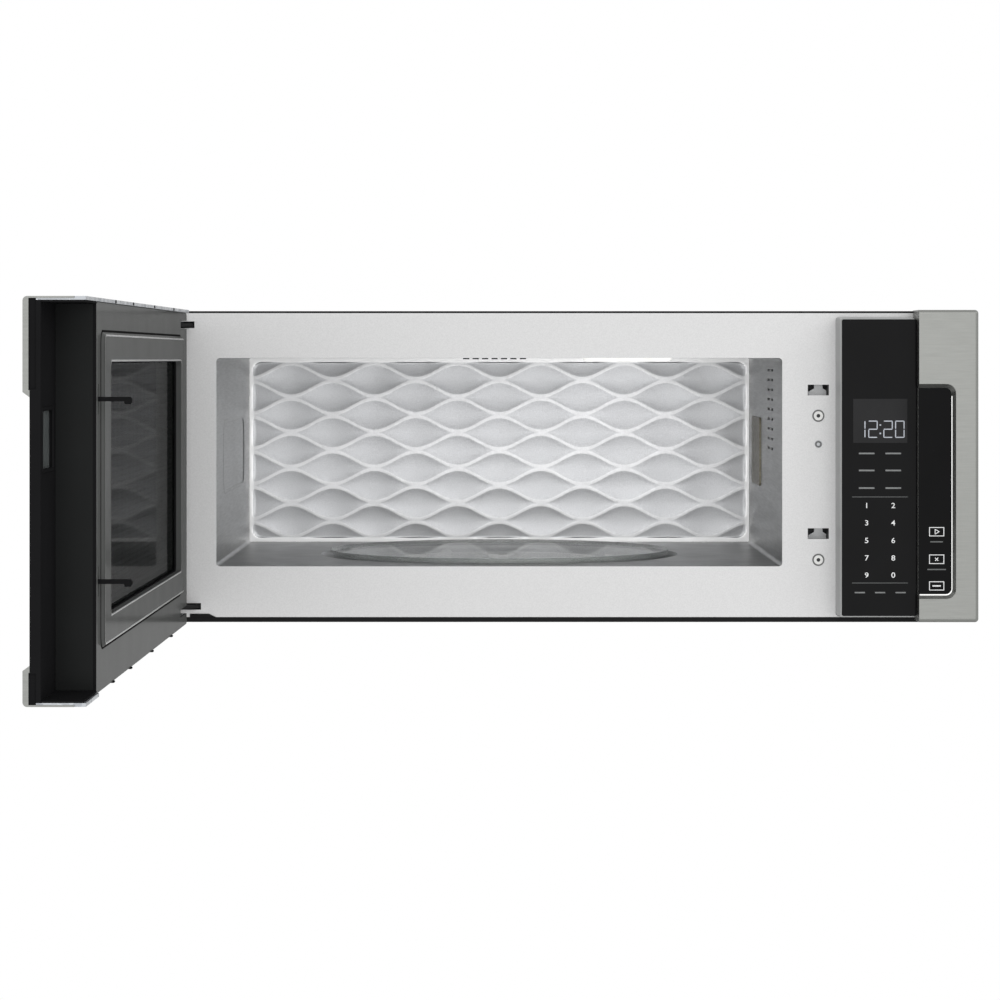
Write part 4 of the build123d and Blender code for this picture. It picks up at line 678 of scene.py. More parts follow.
NODE_FINISHES: dict[Finish, tuple[str, ...]] = {
    TRIM_STEEL: ("door_skin", "left_column", "right_trim"),
    CAVITY_STEEL: ("oven_cavity",),
    WALL_STEEL: ("cavity_back_panel",),
    FRAME_PAINT: ("front_frame",),
    BLACK_POWDER: ("outer_wrap", "base_pan"),
    PLATED_STEEL: ("screws", "cavity_lamp", "turntable_motor", "vent_motor", "magnetron", "capacitor",
                   "cooling_fan_motor"),
    ZINC_SHEET: ("back_panel", "door_chassis", "exhaust_duct", "damper_flap", "vent_scroll", "vent_wheels",
                 "cooktop_lamps", "top_mount_nuts", "waveguide"),
    HINGE_STEEL: ("upper_hinge", "lower_hinge"),
    SPRING_WIRE: ("latch_spring",),
    FILTER_ALUMINIUM: ("grease_filters",),
    PANEL_GLASS: ("control_glass", "door_glass"),
    TOUCH_GLASS: ("touch_insert",),
    LINER_PLASTIC: ("end_liner", "door_moulding", "trim_carrier", "latch_bar"),
    COVER_PLASTIC: ("choke_cover",),
    BEZEL_PLASTIC: ("control_bezel",),
    NYLON: ("door_bumpers", "door_bushes"),
    RING_PLASTIC: ("roller_ring", "roller_1", "roller_2", "roller_3", "drive_coupler"),
    DARK_PLASTIC: ("latch_block", "interlock_switches", "display_module", "cooling_fan_blade"),
    CLEAR_PANE: ("cavity_lamp_cover", "cooktop_lamp_lenses"),
    DOOR_PANE: ("inner_glass",),
    TRAY_GLASS: ("turntable_tray",),
    SMOKED_PANE: ("display_window",),
    SCREEN_STEEL: ("door_screen",),
    WINDING: ("transformer",),
    BOARD: ("control_board",),
    MICA: ("waveguide_cover",),
}


# ---------------------------------------------------------------- mesh work
class Shape:
    """A mesh under construction, in millimetres."""

    def __init__(self) -> None:
        """Start with an empty mesh."""
        self.mesh = bmesh.new()

    def moved(self, verts: Iterable, matrix: Matrix) -> list:
        """Apply a matrix to some vertices.

        Args:
            verts: The vertices.
            matrix: The matrix.

        Returns:
            The same vertices.
        """
        kept = list(verts)
        bmesh.ops.transform(self.mesh, matrix=matrix, verts=kept)
        return kept

    def outward(self) -> None:
        """Turn every face outwards."""
        bmesh.ops.recalc_face_normals(self.mesh, faces=self.mesh.faces[:])

    def carried(self, place: Callable[[float, float, float], Point]) -> None:
        """Move every vertex.

        Args:
            place: Turns the X, Y and Z of a vertex into its new place.
        """
        for vert in self.mesh.verts:
            vert.co = Vector(place(*vert.co))
        self.outward()

    def block(self, x: Span, y: Span, z: Span, round_by: float = 0.0) -> list:
        """Add a box.

        Args:
            x: Its span along X.
            y: Its span along Y.
            z: Its span along Z.
            round_by: Radius of all its edges.

        Returns:
            The box's vertices before rounding.
        """
        made = bmesh.ops.create_cube(self.mesh, size=1.0)["verts"]
        centre = Vector((sum(x) / 2, sum(y) / 2, sum(z) / 2))
        size = Vector((x[1] - x[0], y[1] - y[0], z[1] - z[0], 1.0))
        self.moved(made, Matrix.Translation(centre) @ Matrix.Diagonal(size))
        if round_by:
            edges = list({edge for vert in made for edge in vert.link_edges})
            bmesh.ops.bevel(self.mesh, geom=edges, offset=round_by, segments=2, profile=0.5,
                            affect="EDGES", material=-1)
        return made

    def disc(self, centre: Point, radius: float, length: float, along: Along, segments: int = 32) -> list:
        """Add a short round bar about a centre.

        Args:
            centre: The bar's middle.
            radius: Its radius.
            length: Its length.
            along: The direction that it runs in.
            segments: Faces round it.

        Returns:
            Its vertices.
        """
        made = bmesh.ops.create_cone(self.mesh, cap_ends=True, segments=segments, radius1=radius,
                                     radius2=radius, depth=length)["verts"]
        turn = {Along.X: Matrix.Rotation(pi / 2, 4, "Y"), Along.Y: Matrix.Rotation(pi / 2, 4, "X"),
                Along.Z: Matrix.Identity(4)}[along]
        return self.moved(made, Matrix.Translation(Vector(centre)) @ turn)

    def plate(self, outline: Iterable[tuple[float, float]], y: Span) -> None:
        """Add a flat plate that faces the front.

        Args:
            outline: Its corners in X and Z, in order.
            y: The span of its thickness along Y.
        """
        base = self.mesh.faces.new([self.mesh.verts.new((x, y[0], z)) for x, z in outline])
        grown = bmesh.ops.extrude_face_region(self.mesh, geom=[base])["geom"]
        rear = [item for item in grown if isinstance(item, bmesh.types.BMVert)]
        self.moved(rear, Matrix.Translation(Vector((0, y[1] - y[0], 0))))
        self.outward()

    def ring(self, a: Span, b: Span, radius: float, section: Iterable[tuple[float, float]],
             place: Callable[[float, float, float], Point], filled: bool = False) -> None:
        """Run a section round a rectangle with round corners, as a closed solid.

        Args:
            a: The rectangle's outer span along the first direction.
            b: Its outer span along the second direction.
            radius: Radius of its outer corners.
            section: Pairs of inset from the outline and height over the surface.
            place: Turns a point of the surface and a height into a point of the model.
            filled: Whether the last loop is closed by a face, with another under the whole piece.
        """
        loops = []
        for inset, height in section:
            outline = rounded_outline((a[0] + inset, a[1] - inset), (b[0] + inset, b[1] - inset),
                                      max(radius - inset, 0.2))
            loops.append([self.mesh.verts.new(place(first, second, height)) for first, second in outline])
        pairs = list(zip(loops, loops[1:]))
        if not filled:
            pairs.append((loops[-1], loops[0]))
        faces = []
        for outer, inner in pairs:
            for index in range(len(outer)):
                after = (index + 1) % len(outer)
                faces.append(self.mesh.faces.new((outer[index], outer[after], inner[after], inner[index])))
        if filled:
            faces.append(self.mesh.faces.new(loops[-1]))
            faces.append(self.mesh.faces.new(loops[0]))
        bmesh.ops.recalc_face_normals(self.mesh, faces=faces)

    def tube(self, points: list[Point], radius: float, sides: int = 10) -> None:
        """Run a round bar along a line of points, with flat ends.

        Args:
            points: The middle of the bar, in order.
            radius: Its radius.
            sides: Faces round it.
        """
        path = [Vector(point) for point in points]
        rings = []
        across = Vector((0, 1, 0))
        for index, point in enumerate(path):
            ahead = path[min(index + 1, len(path) - 1)] - path[max(index - 1, 0)]
            side = ahead.cross(across).normalized()
            rings.append([self.mesh.verts.new(point + radius * (side * cos(2 * pi * step / sides)
                                                               + across * sin(2 * pi * step / sides)))
                          for step in range(sides)])
        faces = [self.mesh.faces.new(rings[0]), self.mesh.faces.new(rings[-1])]
        for before, after in zip(rings, rings[1:]):
            for step in range(sides):
                other = (step + 1) % sides
                faces.append(self.mesh.faces.new((before[step], before[other], after[other], after[step])))
        bmesh.ops.recalc_face_normals(self.mesh, faces=faces)

    def letters(self, text: str, centre: tuple[float, float], height: float, y: float, thick: float) -> None:
        """Add printed figures that face the front.

        Args:
            text: The figures.
            centre: The middle of the text along X and Z.
            height: Height of a figure.
            y: The Y of the surface that carries them.
            thick: How far they stand in front of it.
        """
        curve = bpy.data.curves.new("figures", "FONT")
        curve.body = text
        curve.align_x = "CENTER"
        curve.align_y = "CENTER"
        curve.size = 1.0
        curve.extrude = 0.5
        curve.offset = FIGURE_WEIGHT
        curve.resolution_u = 4
        holder = bpy.data.objects.new("figures", curve)
        flat = bpy.data.meshes.new_from_object(holder)
        before = set(self.mesh.verts)
        self.mesh.from_mesh(flat)
        made = [vert for vert in self.mesh.verts if vert not in before]
        tall = max(vert.co.y for vert in made) - min(vert.co.y for vert in made)
        size = Matrix.Diagonal(Vector((FIGURE_STRETCH * height / tall, height / tall, thick, 1.0)))
        place = Matrix.Translation(Vector((centre[0], y - thick / 2, centre[1])))
        self.moved(made, place @ Matrix.Rotation(pi / 2, 4, "X") @ size)
        middle = (max(vert.co.z for vert in made) + min(vert.co.z for vert in made)) / 2
        self.moved(made, Matrix.Translation(Vector((0, 0, centre[1] - middle))))
        bpy.data.objects.remove(holder)
        bpy.data.meshes.remove(flat)
        bpy.data.curves.remove(curve)

    def object(self, name: str, smooth: bool = False) -> bpy.types.Object:
        """Turn the mesh into an object in metres, at the origin.

        Args:
            name: The object's name.
            smooth: Whether its faces shade smoothly.

        Returns:
            The object.
        """
        self.moved(self.mesh.verts, Matrix.Scale(MM, 4))
        data = bpy.data.meshes.new(name)
        self.mesh.to_mesh(data)
        self.mesh.free()
        if smooth:
            data.shade_smooth()
            data.set_sharp_from_angle(angle=radians(SHARP_EDGE))
        made = bpy.data.objects.new(name, data)
        bpy.context.scene.collection.objects.link(made)
        return made


def rounded_outline(a: Span, b: Span, radius: float, steps: int = 6) -> list[tuple[float, float]]:
    """Points round a rectangle with round corners.

    Args:
        a: Its span along the first direction.
        b: Its span along the second direction.
        radius: Radius of its corners.
        steps: Straight pieces in each corner.

    Returns:
        The points, in order round the outline.
    """
    points = []
    for turn, (side_a, side_b) in enumerate(((1, 1), (-1, 1), (-1, -1), (1, -1))):
        centre_a = (a[1] - radius) if side_a > 0 else (a[0] + radius)
        centre_b = (b[1] - radius) if side_b > 0 else (b[0] + radius)
        for step in range(steps + 1):
            angle = (turn + step / steps) * pi / 2
            points.append((centre_a + radius * cos(angle), centre_b + radius * sin(angle)))
    return points


def bead(width: float, height: float, steps: int = 8) -> list[tuple[float, float]]:
    """The half-round section of a raised bead, as pairs of inset and height."""
    angles = [pi * step / steps for step in range(steps + 1)]
    return [(width / 2 * (1 - cos(angle)), height * sin(angle)) for angle in angles]


@dataclass(frozen=True)
class Fitting:
    """Where a new piece belongs: its body, its finish and the nodes it stands for, and a slot name that
    nothing here reads.
    """

    body: str
    slot: str
    finish: Finish
    replaces: tuple[str, ...] = ()

    def fit(self, shape: Shape, name: str, smooth: bool = False) -> bpy.types.Object:
        """Place a shape as a piece of the object.

        Args:
            shape: The mesh.
            name: The piece's name.
            smooth: Whether its faces shade smoothly.

        Returns:
            The new object.
        """
        made = shape.object(name, smooth)
        made.data.materials.append(self.finish.material())
        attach(made, self.body)
        if self.replaces:
            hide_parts(*self.replaces)
        log.info("%s: %d faces on %s, %s", name, len(made.data.polygons), self.body, self.finish.name)
        return made


# ---------------------------------------------------------------- studio
@dataclass(frozen=True)
class Lamp:
    """A square soft lamp: where it hangs, what it points at, the square's side and its power in watts."""

    name: str
    place: Point
    target: Point
    size: float
    power: float

    def hang(self) -> None:
        """Make the lamp and aim it."""
        data = bpy.data.lights.new(self.name, "AREA")
        data.size = self.size * MM
        data.energy = self.power
        made = bpy.data.objects.new(self.name, data)
        made.location = Vector(self.place) * MM
        aim = Vector(self.target) - Vector(self.place)
        made.rotation_euler = aim.to_track_quat("-Z", "Y").to_euler()
        bpy.context.scene.collection.objects.link(made)


@dataclass
class Studio:
    """The camera where the photograph was taken from, a pale floor, soft light and a white surround."""

    camera_place: Point = (-18.5, -3225.0, 92.6)
    lens: float = 119.9
    sensor: float = 36.0
    shift: tuple[float, float] = (0.0006, -0.1433)     # shares of the frame
    near_and_far: Span = (0.1, 100.0)                  # in metres
    floor_drop: float = -950.0
    floor_half: float = 1500.0
    floor_fade: Span = (1.0, 1.45)  # metres from the middle over which the floor turns white
    floor_glow: float = 0.3        # share of that white nearer than this
    ambient: float = 0.68          # light of the surround on matt surfaces
    middle: Point = (0.0, -300.0, 0.0)

    def camera(self) -> None:
        """Make the camera, level and square to the front."""
        data = bpy.data.cameras.new("camera")
        data.lens = self.lens
        data.sensor_width = self.sensor
        data.shift_x, data.shift_y = self.shift
        data.clip_start, data.clip_end = self.near_and_far
        made = bpy.data.objects.new("camera", data)
        made.location = Vector(self.camera_place) * MM
        made.rotation_euler = (pi / 2, 0.0, 0.0)
        bpy.context.scene.collection.objects.link(made)
        bpy.context.scene.camera = made

    def seen_directly(self, tree: Tree) -> Socket:
        """Tell the rays that look from those that carry light.

        Args:
            tree: The node tree of a material or the world.

        Returns:
            One for camera, mirror and see-through rays, and nothing for the others.
        """
        path = add(tree, "LightPath")
        some = add(tree, "Math", {0: path.outputs["Is Camera Ray"], 1: path.outputs["Is Glossy Ray"]},
                   operation="MAXIMUM").outputs[0]
        return add(tree, "Math", {0: some, 1: path.outputs["Is Transmission Ray"]},
                   operation="MAXIMUM").outputs[0]

    def surround(self) -> None:
        """White where it is seen or mirrored, dimmer as a source of light."""
        world = bpy.data.worlds.new("surround")
        tree = emptied(world)
        level = add(tree, "MapRange", {0: self.seen_directly(tree), 3: self.ambient, 4: 1.0}).outputs[0]
        light = add(tree, "Background", {"Color": (1.0, 1.0, 1.0, 1.0), "Strength": level}).outputs[0]
        add(tree, "OutputWorld", {"Surface": light})
        bpy.context.scene.world = world

    def floor(self) -> None:
        """A pale matt floor that runs out to white and can be looked through from below."""
        shape = Shape()
        made = bmesh.ops.create_grid(shape.mesh, x_segments=1, y_segments=1, size=self.floor_half)["verts"]
        shape.moved(made, Matrix.Translation(Vector((0, 0, self.floor_drop))))
        board = shape.object("floor")
        pale = bpy.data.materials.new("pale_floor")
        tree = emptied(pale)
        matt = add(tree, "BsdfDiffuse", {"Color": linear("#F2F2F2")}).outputs[0]
        glow = add(tree, "Emission", {"Strength": 1.0}).outputs[0]
        reach = add(tree, "VectorMath", {0: own_place(tree)}, operation="LENGTH").outputs["Value"]
        out = add(tree, "MapRange", {0: reach, 1: self.floor_fade[0], 2: self.floor_fade[1],
                                     3: self.floor_glow, 4: 1.0}).outputs[0]
        seen = add(tree, "Math", {0: out, 1: self.seen_directly(tree)}, operation="MULTIPLY").outputs[0]
        top = add(tree, "MixShader", {0: seen, 1: matt, 2: glow}).outputs[0]
        under = add(tree, "NewGeometry").outputs["Backfacing"]
        clear = add(tree, "BsdfTransparent").outputs[0]
        both = add(tree, "MixShader", {0: under, 1: top, 2: clear}).outputs[0]
        add(tree, "OutputMaterial", {"Surface": both})
        board.data.materials.append(pale)

    def lamps(self) -> None:
        """A broad key over the camera, two fills, and the cavity's own lamp, on while the door is open."""
        for lamp in (Lamp("key", (250.0, -3300.0, 700.0), self.middle, 3000.0, 27.0),
                     Lamp("fill_right", (2400.0, -1700.0, 1300.0), self.middle, 1500.0, 7.5),
                     Lamp("fill_back", (-600.0, 2600.0, 1500.0), self.middle, 1600.0, 7.5),
                     Lamp("oven_lamp", (92.0, -330.0, 86.0), (-30.0, -49.0, 10.0), 30.0, 0.015)):
            lamp.hang()

    def build(self) -> None:
        """Make everything around the object."""
        self.camera()
        self.surround()
        self.floor()
        self.lamps()
        bpy.context.scene.view_settings.view_transform = "Standard"


# ---------------------------------------------------------------- the cooking cavity
@dataclass
class PressedBackWall:
    """The back wall of the cavity: eye-shaped pans pressed in between two sets of waves in opposite phase."""

    periods: int = 6
    eye_half_height: float = 13.9
    row_step: float = 16.78
    first_row: float = 4.0         # ceiling to the middle of the top row
    rim: float = 3.6               # flat border beside the cavity walls
    rim_corner: float = 8.0
    depth: float = 0.85            # deepest point of a pan
    taper: float = 1.1             # power by which a pan gets shallower than it gets narrower
    thinnest: float = 0.001        # smallest half height, where an eye ends in a point
    border_wall: float = 1.1       # width of the steep wall round the pressed field
    step_x: float = 1.6
    step_z: float = 0.75
    width: float = field(init=False, default=0.0)
    height: float = field(init=False, default=0.0)

    def pan_depth(self, x: float, z: float) -> float:
        """How deep the pressing is at a point of the wall.

        Args:
            x: Distance from the cavity's left wall.
            z: Distance below the cavity's ceiling.

        Returns:
            Depth behind the flat lands.
        """
        swing = cos(2 * pi * x * self.periods / self.width)
        deepest = 0.0
        for side in (1, -1):
            half = self.eye_half_height / 2 * (1 + side * swing)
            start = self.first_row + (0 if side > 0 else self.row_step)
            offset = (z - start + self.row_step) % (2 * self.row_step) - self.row_step
            inside = 1 - abs(offset) / max(half, self.thinnest)
            if inside > 0:
                share = (half / self.eye_half_height) ** self.taper
                bowl = 1 - (1 - inside) ** 2
                deepest = max(deepest, self.depth * share * bowl)
        return deepest * self.pressed_share(x, z)

    def pressed_share(self, x: float, z: float) -> float:
        """Tell the pressed field from the flat rim round it.

        Args:
            x: Distance from the cavity's left wall.
            z: Distance below the cavity's ceiling.

        Returns:
            One inside the field, nothing on the rim, and a smooth ramp between.
        """
        from_side = min(x, self.width - x) - self.rim
        from_end = min(z, self.height - z) - self.rim
        corner = self.rim_corner
        if from_side < corner and from_end < corner:
            inside = corner - ((corner - from_side) ** 2 + (corner - from_end) ** 2) ** 0.5
        else:
            inside = min(from_side, from_end)
        share = min(max(inside / self.border_wall, 0.0), 1.0)
        return share * share * (3 - 2 * share)

    def build(self) -> None:
        """Press the wall and set it in place of the plain CAD panel."""
        span_x, (face_y, rear), span_z = node_box("cavity_back_panel")
        self.width = span_x[1] - span_x[0]
        self.height = span_z[1] - span_z[0]
        shape = Shape()
        columns = round(self.width / self.step_x)
        rows = round(self.height / self.step_z)
        bmesh.ops.create_grid(shape.mesh, x_segments=columns, y_segments=rows, size=0.5)
        place = Matrix.Translation(Vector((sum(span_x) / 2, face_y, sum(span_z) / 2)))
        size = Matrix.Diagonal(Vector((self.width, self.height, 1.0, 1.0)))
        shape.moved(shape.mesh.verts, place @ Matrix.Rotation(pi / 2, 4, "X") @ size)
        shown = shape.mesh.verts.layers.float.new(DEPTH_AND_SHINE)
        for vert in shape.mesh.verts:
            x, z = vert.co.x - span_x[0], span_z[1] - vert.co.z
            depth = self.pan_depth(x, z)
            # The stored value only sets the painted highlight on the lands and the rim.
            vert[shown] = depth / self.depth - RIM_SHINE * (1 - self.pressed_share(x, z))
            vert.co.y += depth
        border = [edge for edge in shape.mesh.edges if edge.is_boundary]
        pulled = bmesh.ops.extrude_edge_only(shape.mesh, edges=border)["geom"]
        for item in pulled:
            if isinstance(item, bmesh.types.BMVert):
                item.co.y = rear
        rim = [item for item in pulled if isinstance(item, bmesh.types.BMEdge)]
        bmesh.ops.contextual_create(shape.mesh, geom=rim)
        shape.outward()
        fitting = Fitting("cabinet", "pressed_steel", WALL_STEEL, ("cavity_back_panel",))
        fitting.fit(shape, "pressed_back_wall", True)


@dataclass
class CavityFittings:
    """Small things in the cavity: the embossed outline, the lamp's lens and the lanced ceiling holes."""

    wall_gap: float = 0.25         # between the back wall's edge and the side wall
    outline_y: Span = (-344.5, -111.5)
    outline_z: Span = (-26.5, 37.5)
    outline_radius: float = 15.5
    bead_size: tuple[float, float] = (2.6, 0.2)        # width and height
    panel_y: Span = (-343.0, -113.0)
    panel_z: Span = (-25.0, 36.0)
    panel_radius: float = 14.0
    panel_section: Pairs = ((0.1, -1.8), (0.1, -0.1), (1.0, -0.4))
    lens_radius: float = 4.0
    lens_section: Pairs = ((0.0, 0.0), (0.0, 0.8), (1.8, 2.6), (2.4, 3.0))
    lance_x: tuple[float, ...] = tuple(-46.6 + 8.0 * step for step in range(7))
    lance_y: float = -405.0
    lance_radius: float = 2.6
    lance_drop: float = 1.1

    def outline(self) -> None:
        """The raised outline of the embossing on the left wall, and the panel inside it."""
        wall = node_box("cavity_back_panel")[0][0] - self.wall_gap
        fitting = Fitting("cabinet", "cavity_steel", CAVITY_STEEL)
        line, panel = Shape(), Shape()
        line.ring(self.outline_y, self.outline_z, self.outline_radius, bead(*self.bead_size),
                  lambda a, b, height: (wall + height, a, b))
        fitting.fit(line, "wall_bead", True)
        panel.ring(self.panel_y, self.panel_z, self.panel_radius, self.panel_section,
                   lambda a, b, height: (wall + height, a, b), True)
        fitting.fit(panel, "wall_panel")

    def lens(self) -> None:
        """The lit lens of the cavity lamp, a shallow tray with sloped sides under the ceiling."""
        x, y, z = node_box("cavity_lamp_cover")
        shape = Shape()
        shape.ring(x, y, self.lens_radius, self.lens_section, lambda a, b, drop: (a, b, z[1] - drop), True)
        Fitting("cabinet", "clear_glass", LAMP_LENS, ("cavity_lamp_cover",)).fit(shape, "lamp_lens", True)

    def lances(self) -> None:
        """Rims of the ceiling's vent holes, which hang down a little where the punch came through, drawn dark
        as painted shade.
        """
        middle = node_box("cavity_lamp_cover")[2][1] - self.lance_drop / 2
        shape = Shape()
        for x in self.lance_x:
            shape.disc((x, self.lance_y, middle), self.lance_radius, self.lance_drop, Along.Z, 20)
        Fitting("cabinet", "cavity_steel", SHADED_LANCE_STEEL).fit(shape, "ceiling_lances")

    def build(self) -> None:
        """Fit them all."""
        self.outline()
        self.lens()
        self.lances()


@dataclass
class GreaseFilters:
    """The two grease filters of the hood: layers of expanded aluminium mesh in a folded frame.

    The real mesh has strands 0.3 mm thick and 4 mm apart; it is drawn 6 mm apart so that it shows.
    """

    centres_x: tuple[float, float] = (-165.0, 165.0)
    size: tuple[float, float] = (180.0, 150.0)
    frame_width: float = 9.0
    frame_radius: float = 6.0
    frame_wall: float = 1.2        # its outer side
    frame_lip: float = 1.0         # its two folded lips
    tuck: float = 3.0              # how far the mesh goes into the frame
    cell: float = 6.0
    strand: float = 0.9
    layer_heights: tuple[float, ...] = (2.2, 4.0, 5.8)

    def layer(self, shape: Shape, x: Span, y: Span, z: float, shift: float) -> None:
        """Add one layer of diamond mesh over a rectangle.

        Args:
            shape: The piece that gets it.
            x: The rectangle's span along X.
            y: Its span along Y.
            z: The layer's height.
            shift: How far it is set off along X and Y, so that no two layers line up.
        """
        part = bmesh.new()
        columns = round((x[1] - x[0]) / self.cell)
        rows = round((y[1] - y[0]) / self.cell)
        bmesh.ops.create_grid(part, x_segments=columns, y_segments=rows, size=0.5)
        straight = [edge for edge in part.edges if not edge.is_boundary]
        bmesh.ops.poke(part, faces=part.faces[:])
        bmesh.ops.dissolve_edges(part, edges=straight, use_verts=False, use_face_split=False)
        size = Matrix.Diagonal(Vector((x[1] - x[0], y[1] - y[0], 1.0, 1.0)))
        place = Matrix.Translation(Vector((sum(x) / 2 + shift, sum(y) / 2 + shift, z)))
        bmesh.ops.transform(part, matrix=place @ size, verts=part.verts[:])
        bmesh.ops.wireframe(part, faces=part.faces[:], thickness=self.strand, offset=0.0, use_replace=True,
                            use_boundary=True, use_even_offset=True, use_relative_offset=False)
        data = bpy.data.meshes.new("layer")
        part.to_mesh(data)
        part.free()
        shape.mesh.from_mesh(data)
        bpy.data.meshes.remove(data)

    def build(self) -> None:
        """Make both filters in one piece, in the place of the plain panels."""
        _, y, z = node_box("grease_filters")
        tall, wide, wall, lip = z[1] - z[0], self.frame_width, self.frame_wall, self.frame_lip
        section = [(0.0, 0.0), (0.0, tall), (wide, tall), (wide, tall - lip), (wall, tall - lip), (wall, lip),
                   (wide, lip), (wide, 0.0)]
        inset = self.tuck - self.frame_width
        depth = around(sum(y) / 2, self.size[1])
        shape = Shape()
        for centre in self.centres_x:
            across = around(centre, self.size[0])
            shape.ring(across, depth, self.frame_radius, section, lambda a, b, height: (a, b, z[0] + height))
            for index, height in enumerate(self.layer_heights):
                self.layer(shape, grown(across, inset), grown(depth, inset), z[0] + height,
                           (index - 1) * self.cell / 3)
        Fitting("cabinet", "filter_mesh", FILTER_ALUMINIUM, ("grease_filters",)).fit(shape, "filter_meshes")


# ---------------------------------------------------------------- controls
@dataclass
class ControlPanel:
    """What shows in the black glass: the clock, the number keys and plain marks for the other keys."""

    print_thickness: float = 0.12
    time: str = "1220"
    display_x: Span = (276.7, 321.8)
    display_z: Span = (20.7, 57.4)
    display_sink: float = 0.1      # how far its rear goes into the glass
    digit_z: Span = (24.9, 39.3)
    digit_lefts: tuple[float, ...] = (279.0, 289.2, 301.8, 311.6)
    digit_width: float = 7.9
    stroke: float = 0.85
    stroke_gap: float = 0.55       # free ends of a bar, as a share of its stroke
    dot_x: float = 299.3
    dot_z: tuple[float, float] = (28.6, 35.6)
    dot_side: float = 1.3
    key_columns: tuple[float, float] = (287.9, 310.1)
    number_rows: tuple[float, ...] = (-31.5, -46.0, -60.7, -75.3, -89.6)
    number_labels: tuple[str, ...] = ("12", "34", "56", "78", "90")
    figure_height: float = 4.4
    mark_rows: tuple[float, ...] = (11.9, -2.3, -17.0)
    mark_size: tuple[float, float] = (13.0, 1.3)       # length and height
    bottom_columns: tuple[float, ...] = (282.2, 299.1, 316.2)
    bottom_row: float = -104.2
    bottom_size: tuple[float, float] = (8.5, 1.1)
    divider_rows: tuple[float, ...] = (-24.4, -96.2)
    divider_x: Span = (275.7, 322.4)
    divider_height: float = 0.5
    segments_of: dict = field(default_factory=lambda: {"1": "bc", "2": "abged", "0": "abcdef"})

    def front(self) -> float:
        """The Y of the glass."""
        return node_box("control_glass")[1][0]

    def printed(self, coats: int = 1) -> Span:
        """The Y span of a print on the glass, by its number of coats."""
        return (self.front() - coats * self.print_thickness, self.front())

    def digit(self, shape: Shape, figure: str, left: float) -> None:
        """Add one seven-bar figure of the clock.

        Args:
            shape: The piece that gets it.
            figure: The figure.
            left: The X of its left side.
        """
        low, high = self.digit_z
        right = left + self.digit_width
        middle = (low + high) / 2
        gap = self.stroke * self.stroke_gap
        bars = {
            "a": ((left + gap, right - gap), (high - self.stroke, high)),
            "g": ((left + gap, right - gap), around(middle, self.stroke)),
            "d": ((left + gap, right - gap), (low, low + self.stroke)),
            "b": ((right - self.stroke, right), (middle + gap, high - gap)),
            "f": ((left, left + self.stroke), (middle + gap, high - gap)),
            "c": ((right - self.stroke, right), (low + gap, middle - gap)),
            "e": ((left, left + self.stroke), (low + gap, middle - gap)),
        }
        for bar in self.segments_of[figure]:
            shape.block(bars[bar][0], self.printed(2), bars[bar][1])

    def clock(self) -> None:
        """The lit time of day on its slightly lighter field."""
        pane, digits = Shape(), Shape()
        y = (self.front() - self.print_thickness / 2, self.front() + self.display_sink)
        pane.block(self.display_x, y, self.display_z)
        Fitting("cabinet", "black_glass", DISPLAY_FIELD).fit(pane, "display_field")
        for figure, left in zip(self.time, self.digit_lefts):
            self.digit(digits, figure, left)
        for z in self.dot_z:
            digits.block(around(self.dot_x, self.dot_side), self.printed(2), around(z, self.dot_side))
        Fitting("cabinet", "black_glass", DISPLAY_LIGHT).fit(digits, "clock_digits")

    def numbers(self) -> None:
        """The ten number keys."""
        shape = Shape()
        for z, pair in zip(self.number_rows, self.number_labels):
            for x, label in zip(self.key_columns, pair):
                shape.letters(label, (x, z), self.figure_height, self.front(), self.print_thickness)
        Fitting("cabinet", "black_glass", LEGEND_WHITE).fit(shape, "number_keys")

    def marks(self) -> None:
        """Plain bars where the real panel has words, and the lines between the groups of keys."""
        bars, dividers = Shape(), Shape()
        for z in self.mark_rows:
            for x in self.key_columns:
                bars.block(around(x, self.mark_size[0]), self.printed(), around(z, self.mark_size[1]))
        for x in self.bottom_columns:
            bars.block(around(x, self.bottom_size[0]), self.printed(),
                       around(self.bottom_row, self.bottom_size[1]))
        Fitting("cabinet", "black_glass", LEGEND_DIM).fit(bars, "key_marks")
        for z in self.divider_rows:
            dividers.block(self.divider_x, self.printed(), around(z, self.divider_height))
        Fitting("cabinet", "black_glass", LEGEND_FAINT).fit(dividers, "key_dividers")

    def build(self) -> None:
        """Print the whole panel."""
        self.clock()
        self.numbers()
        self.marks()


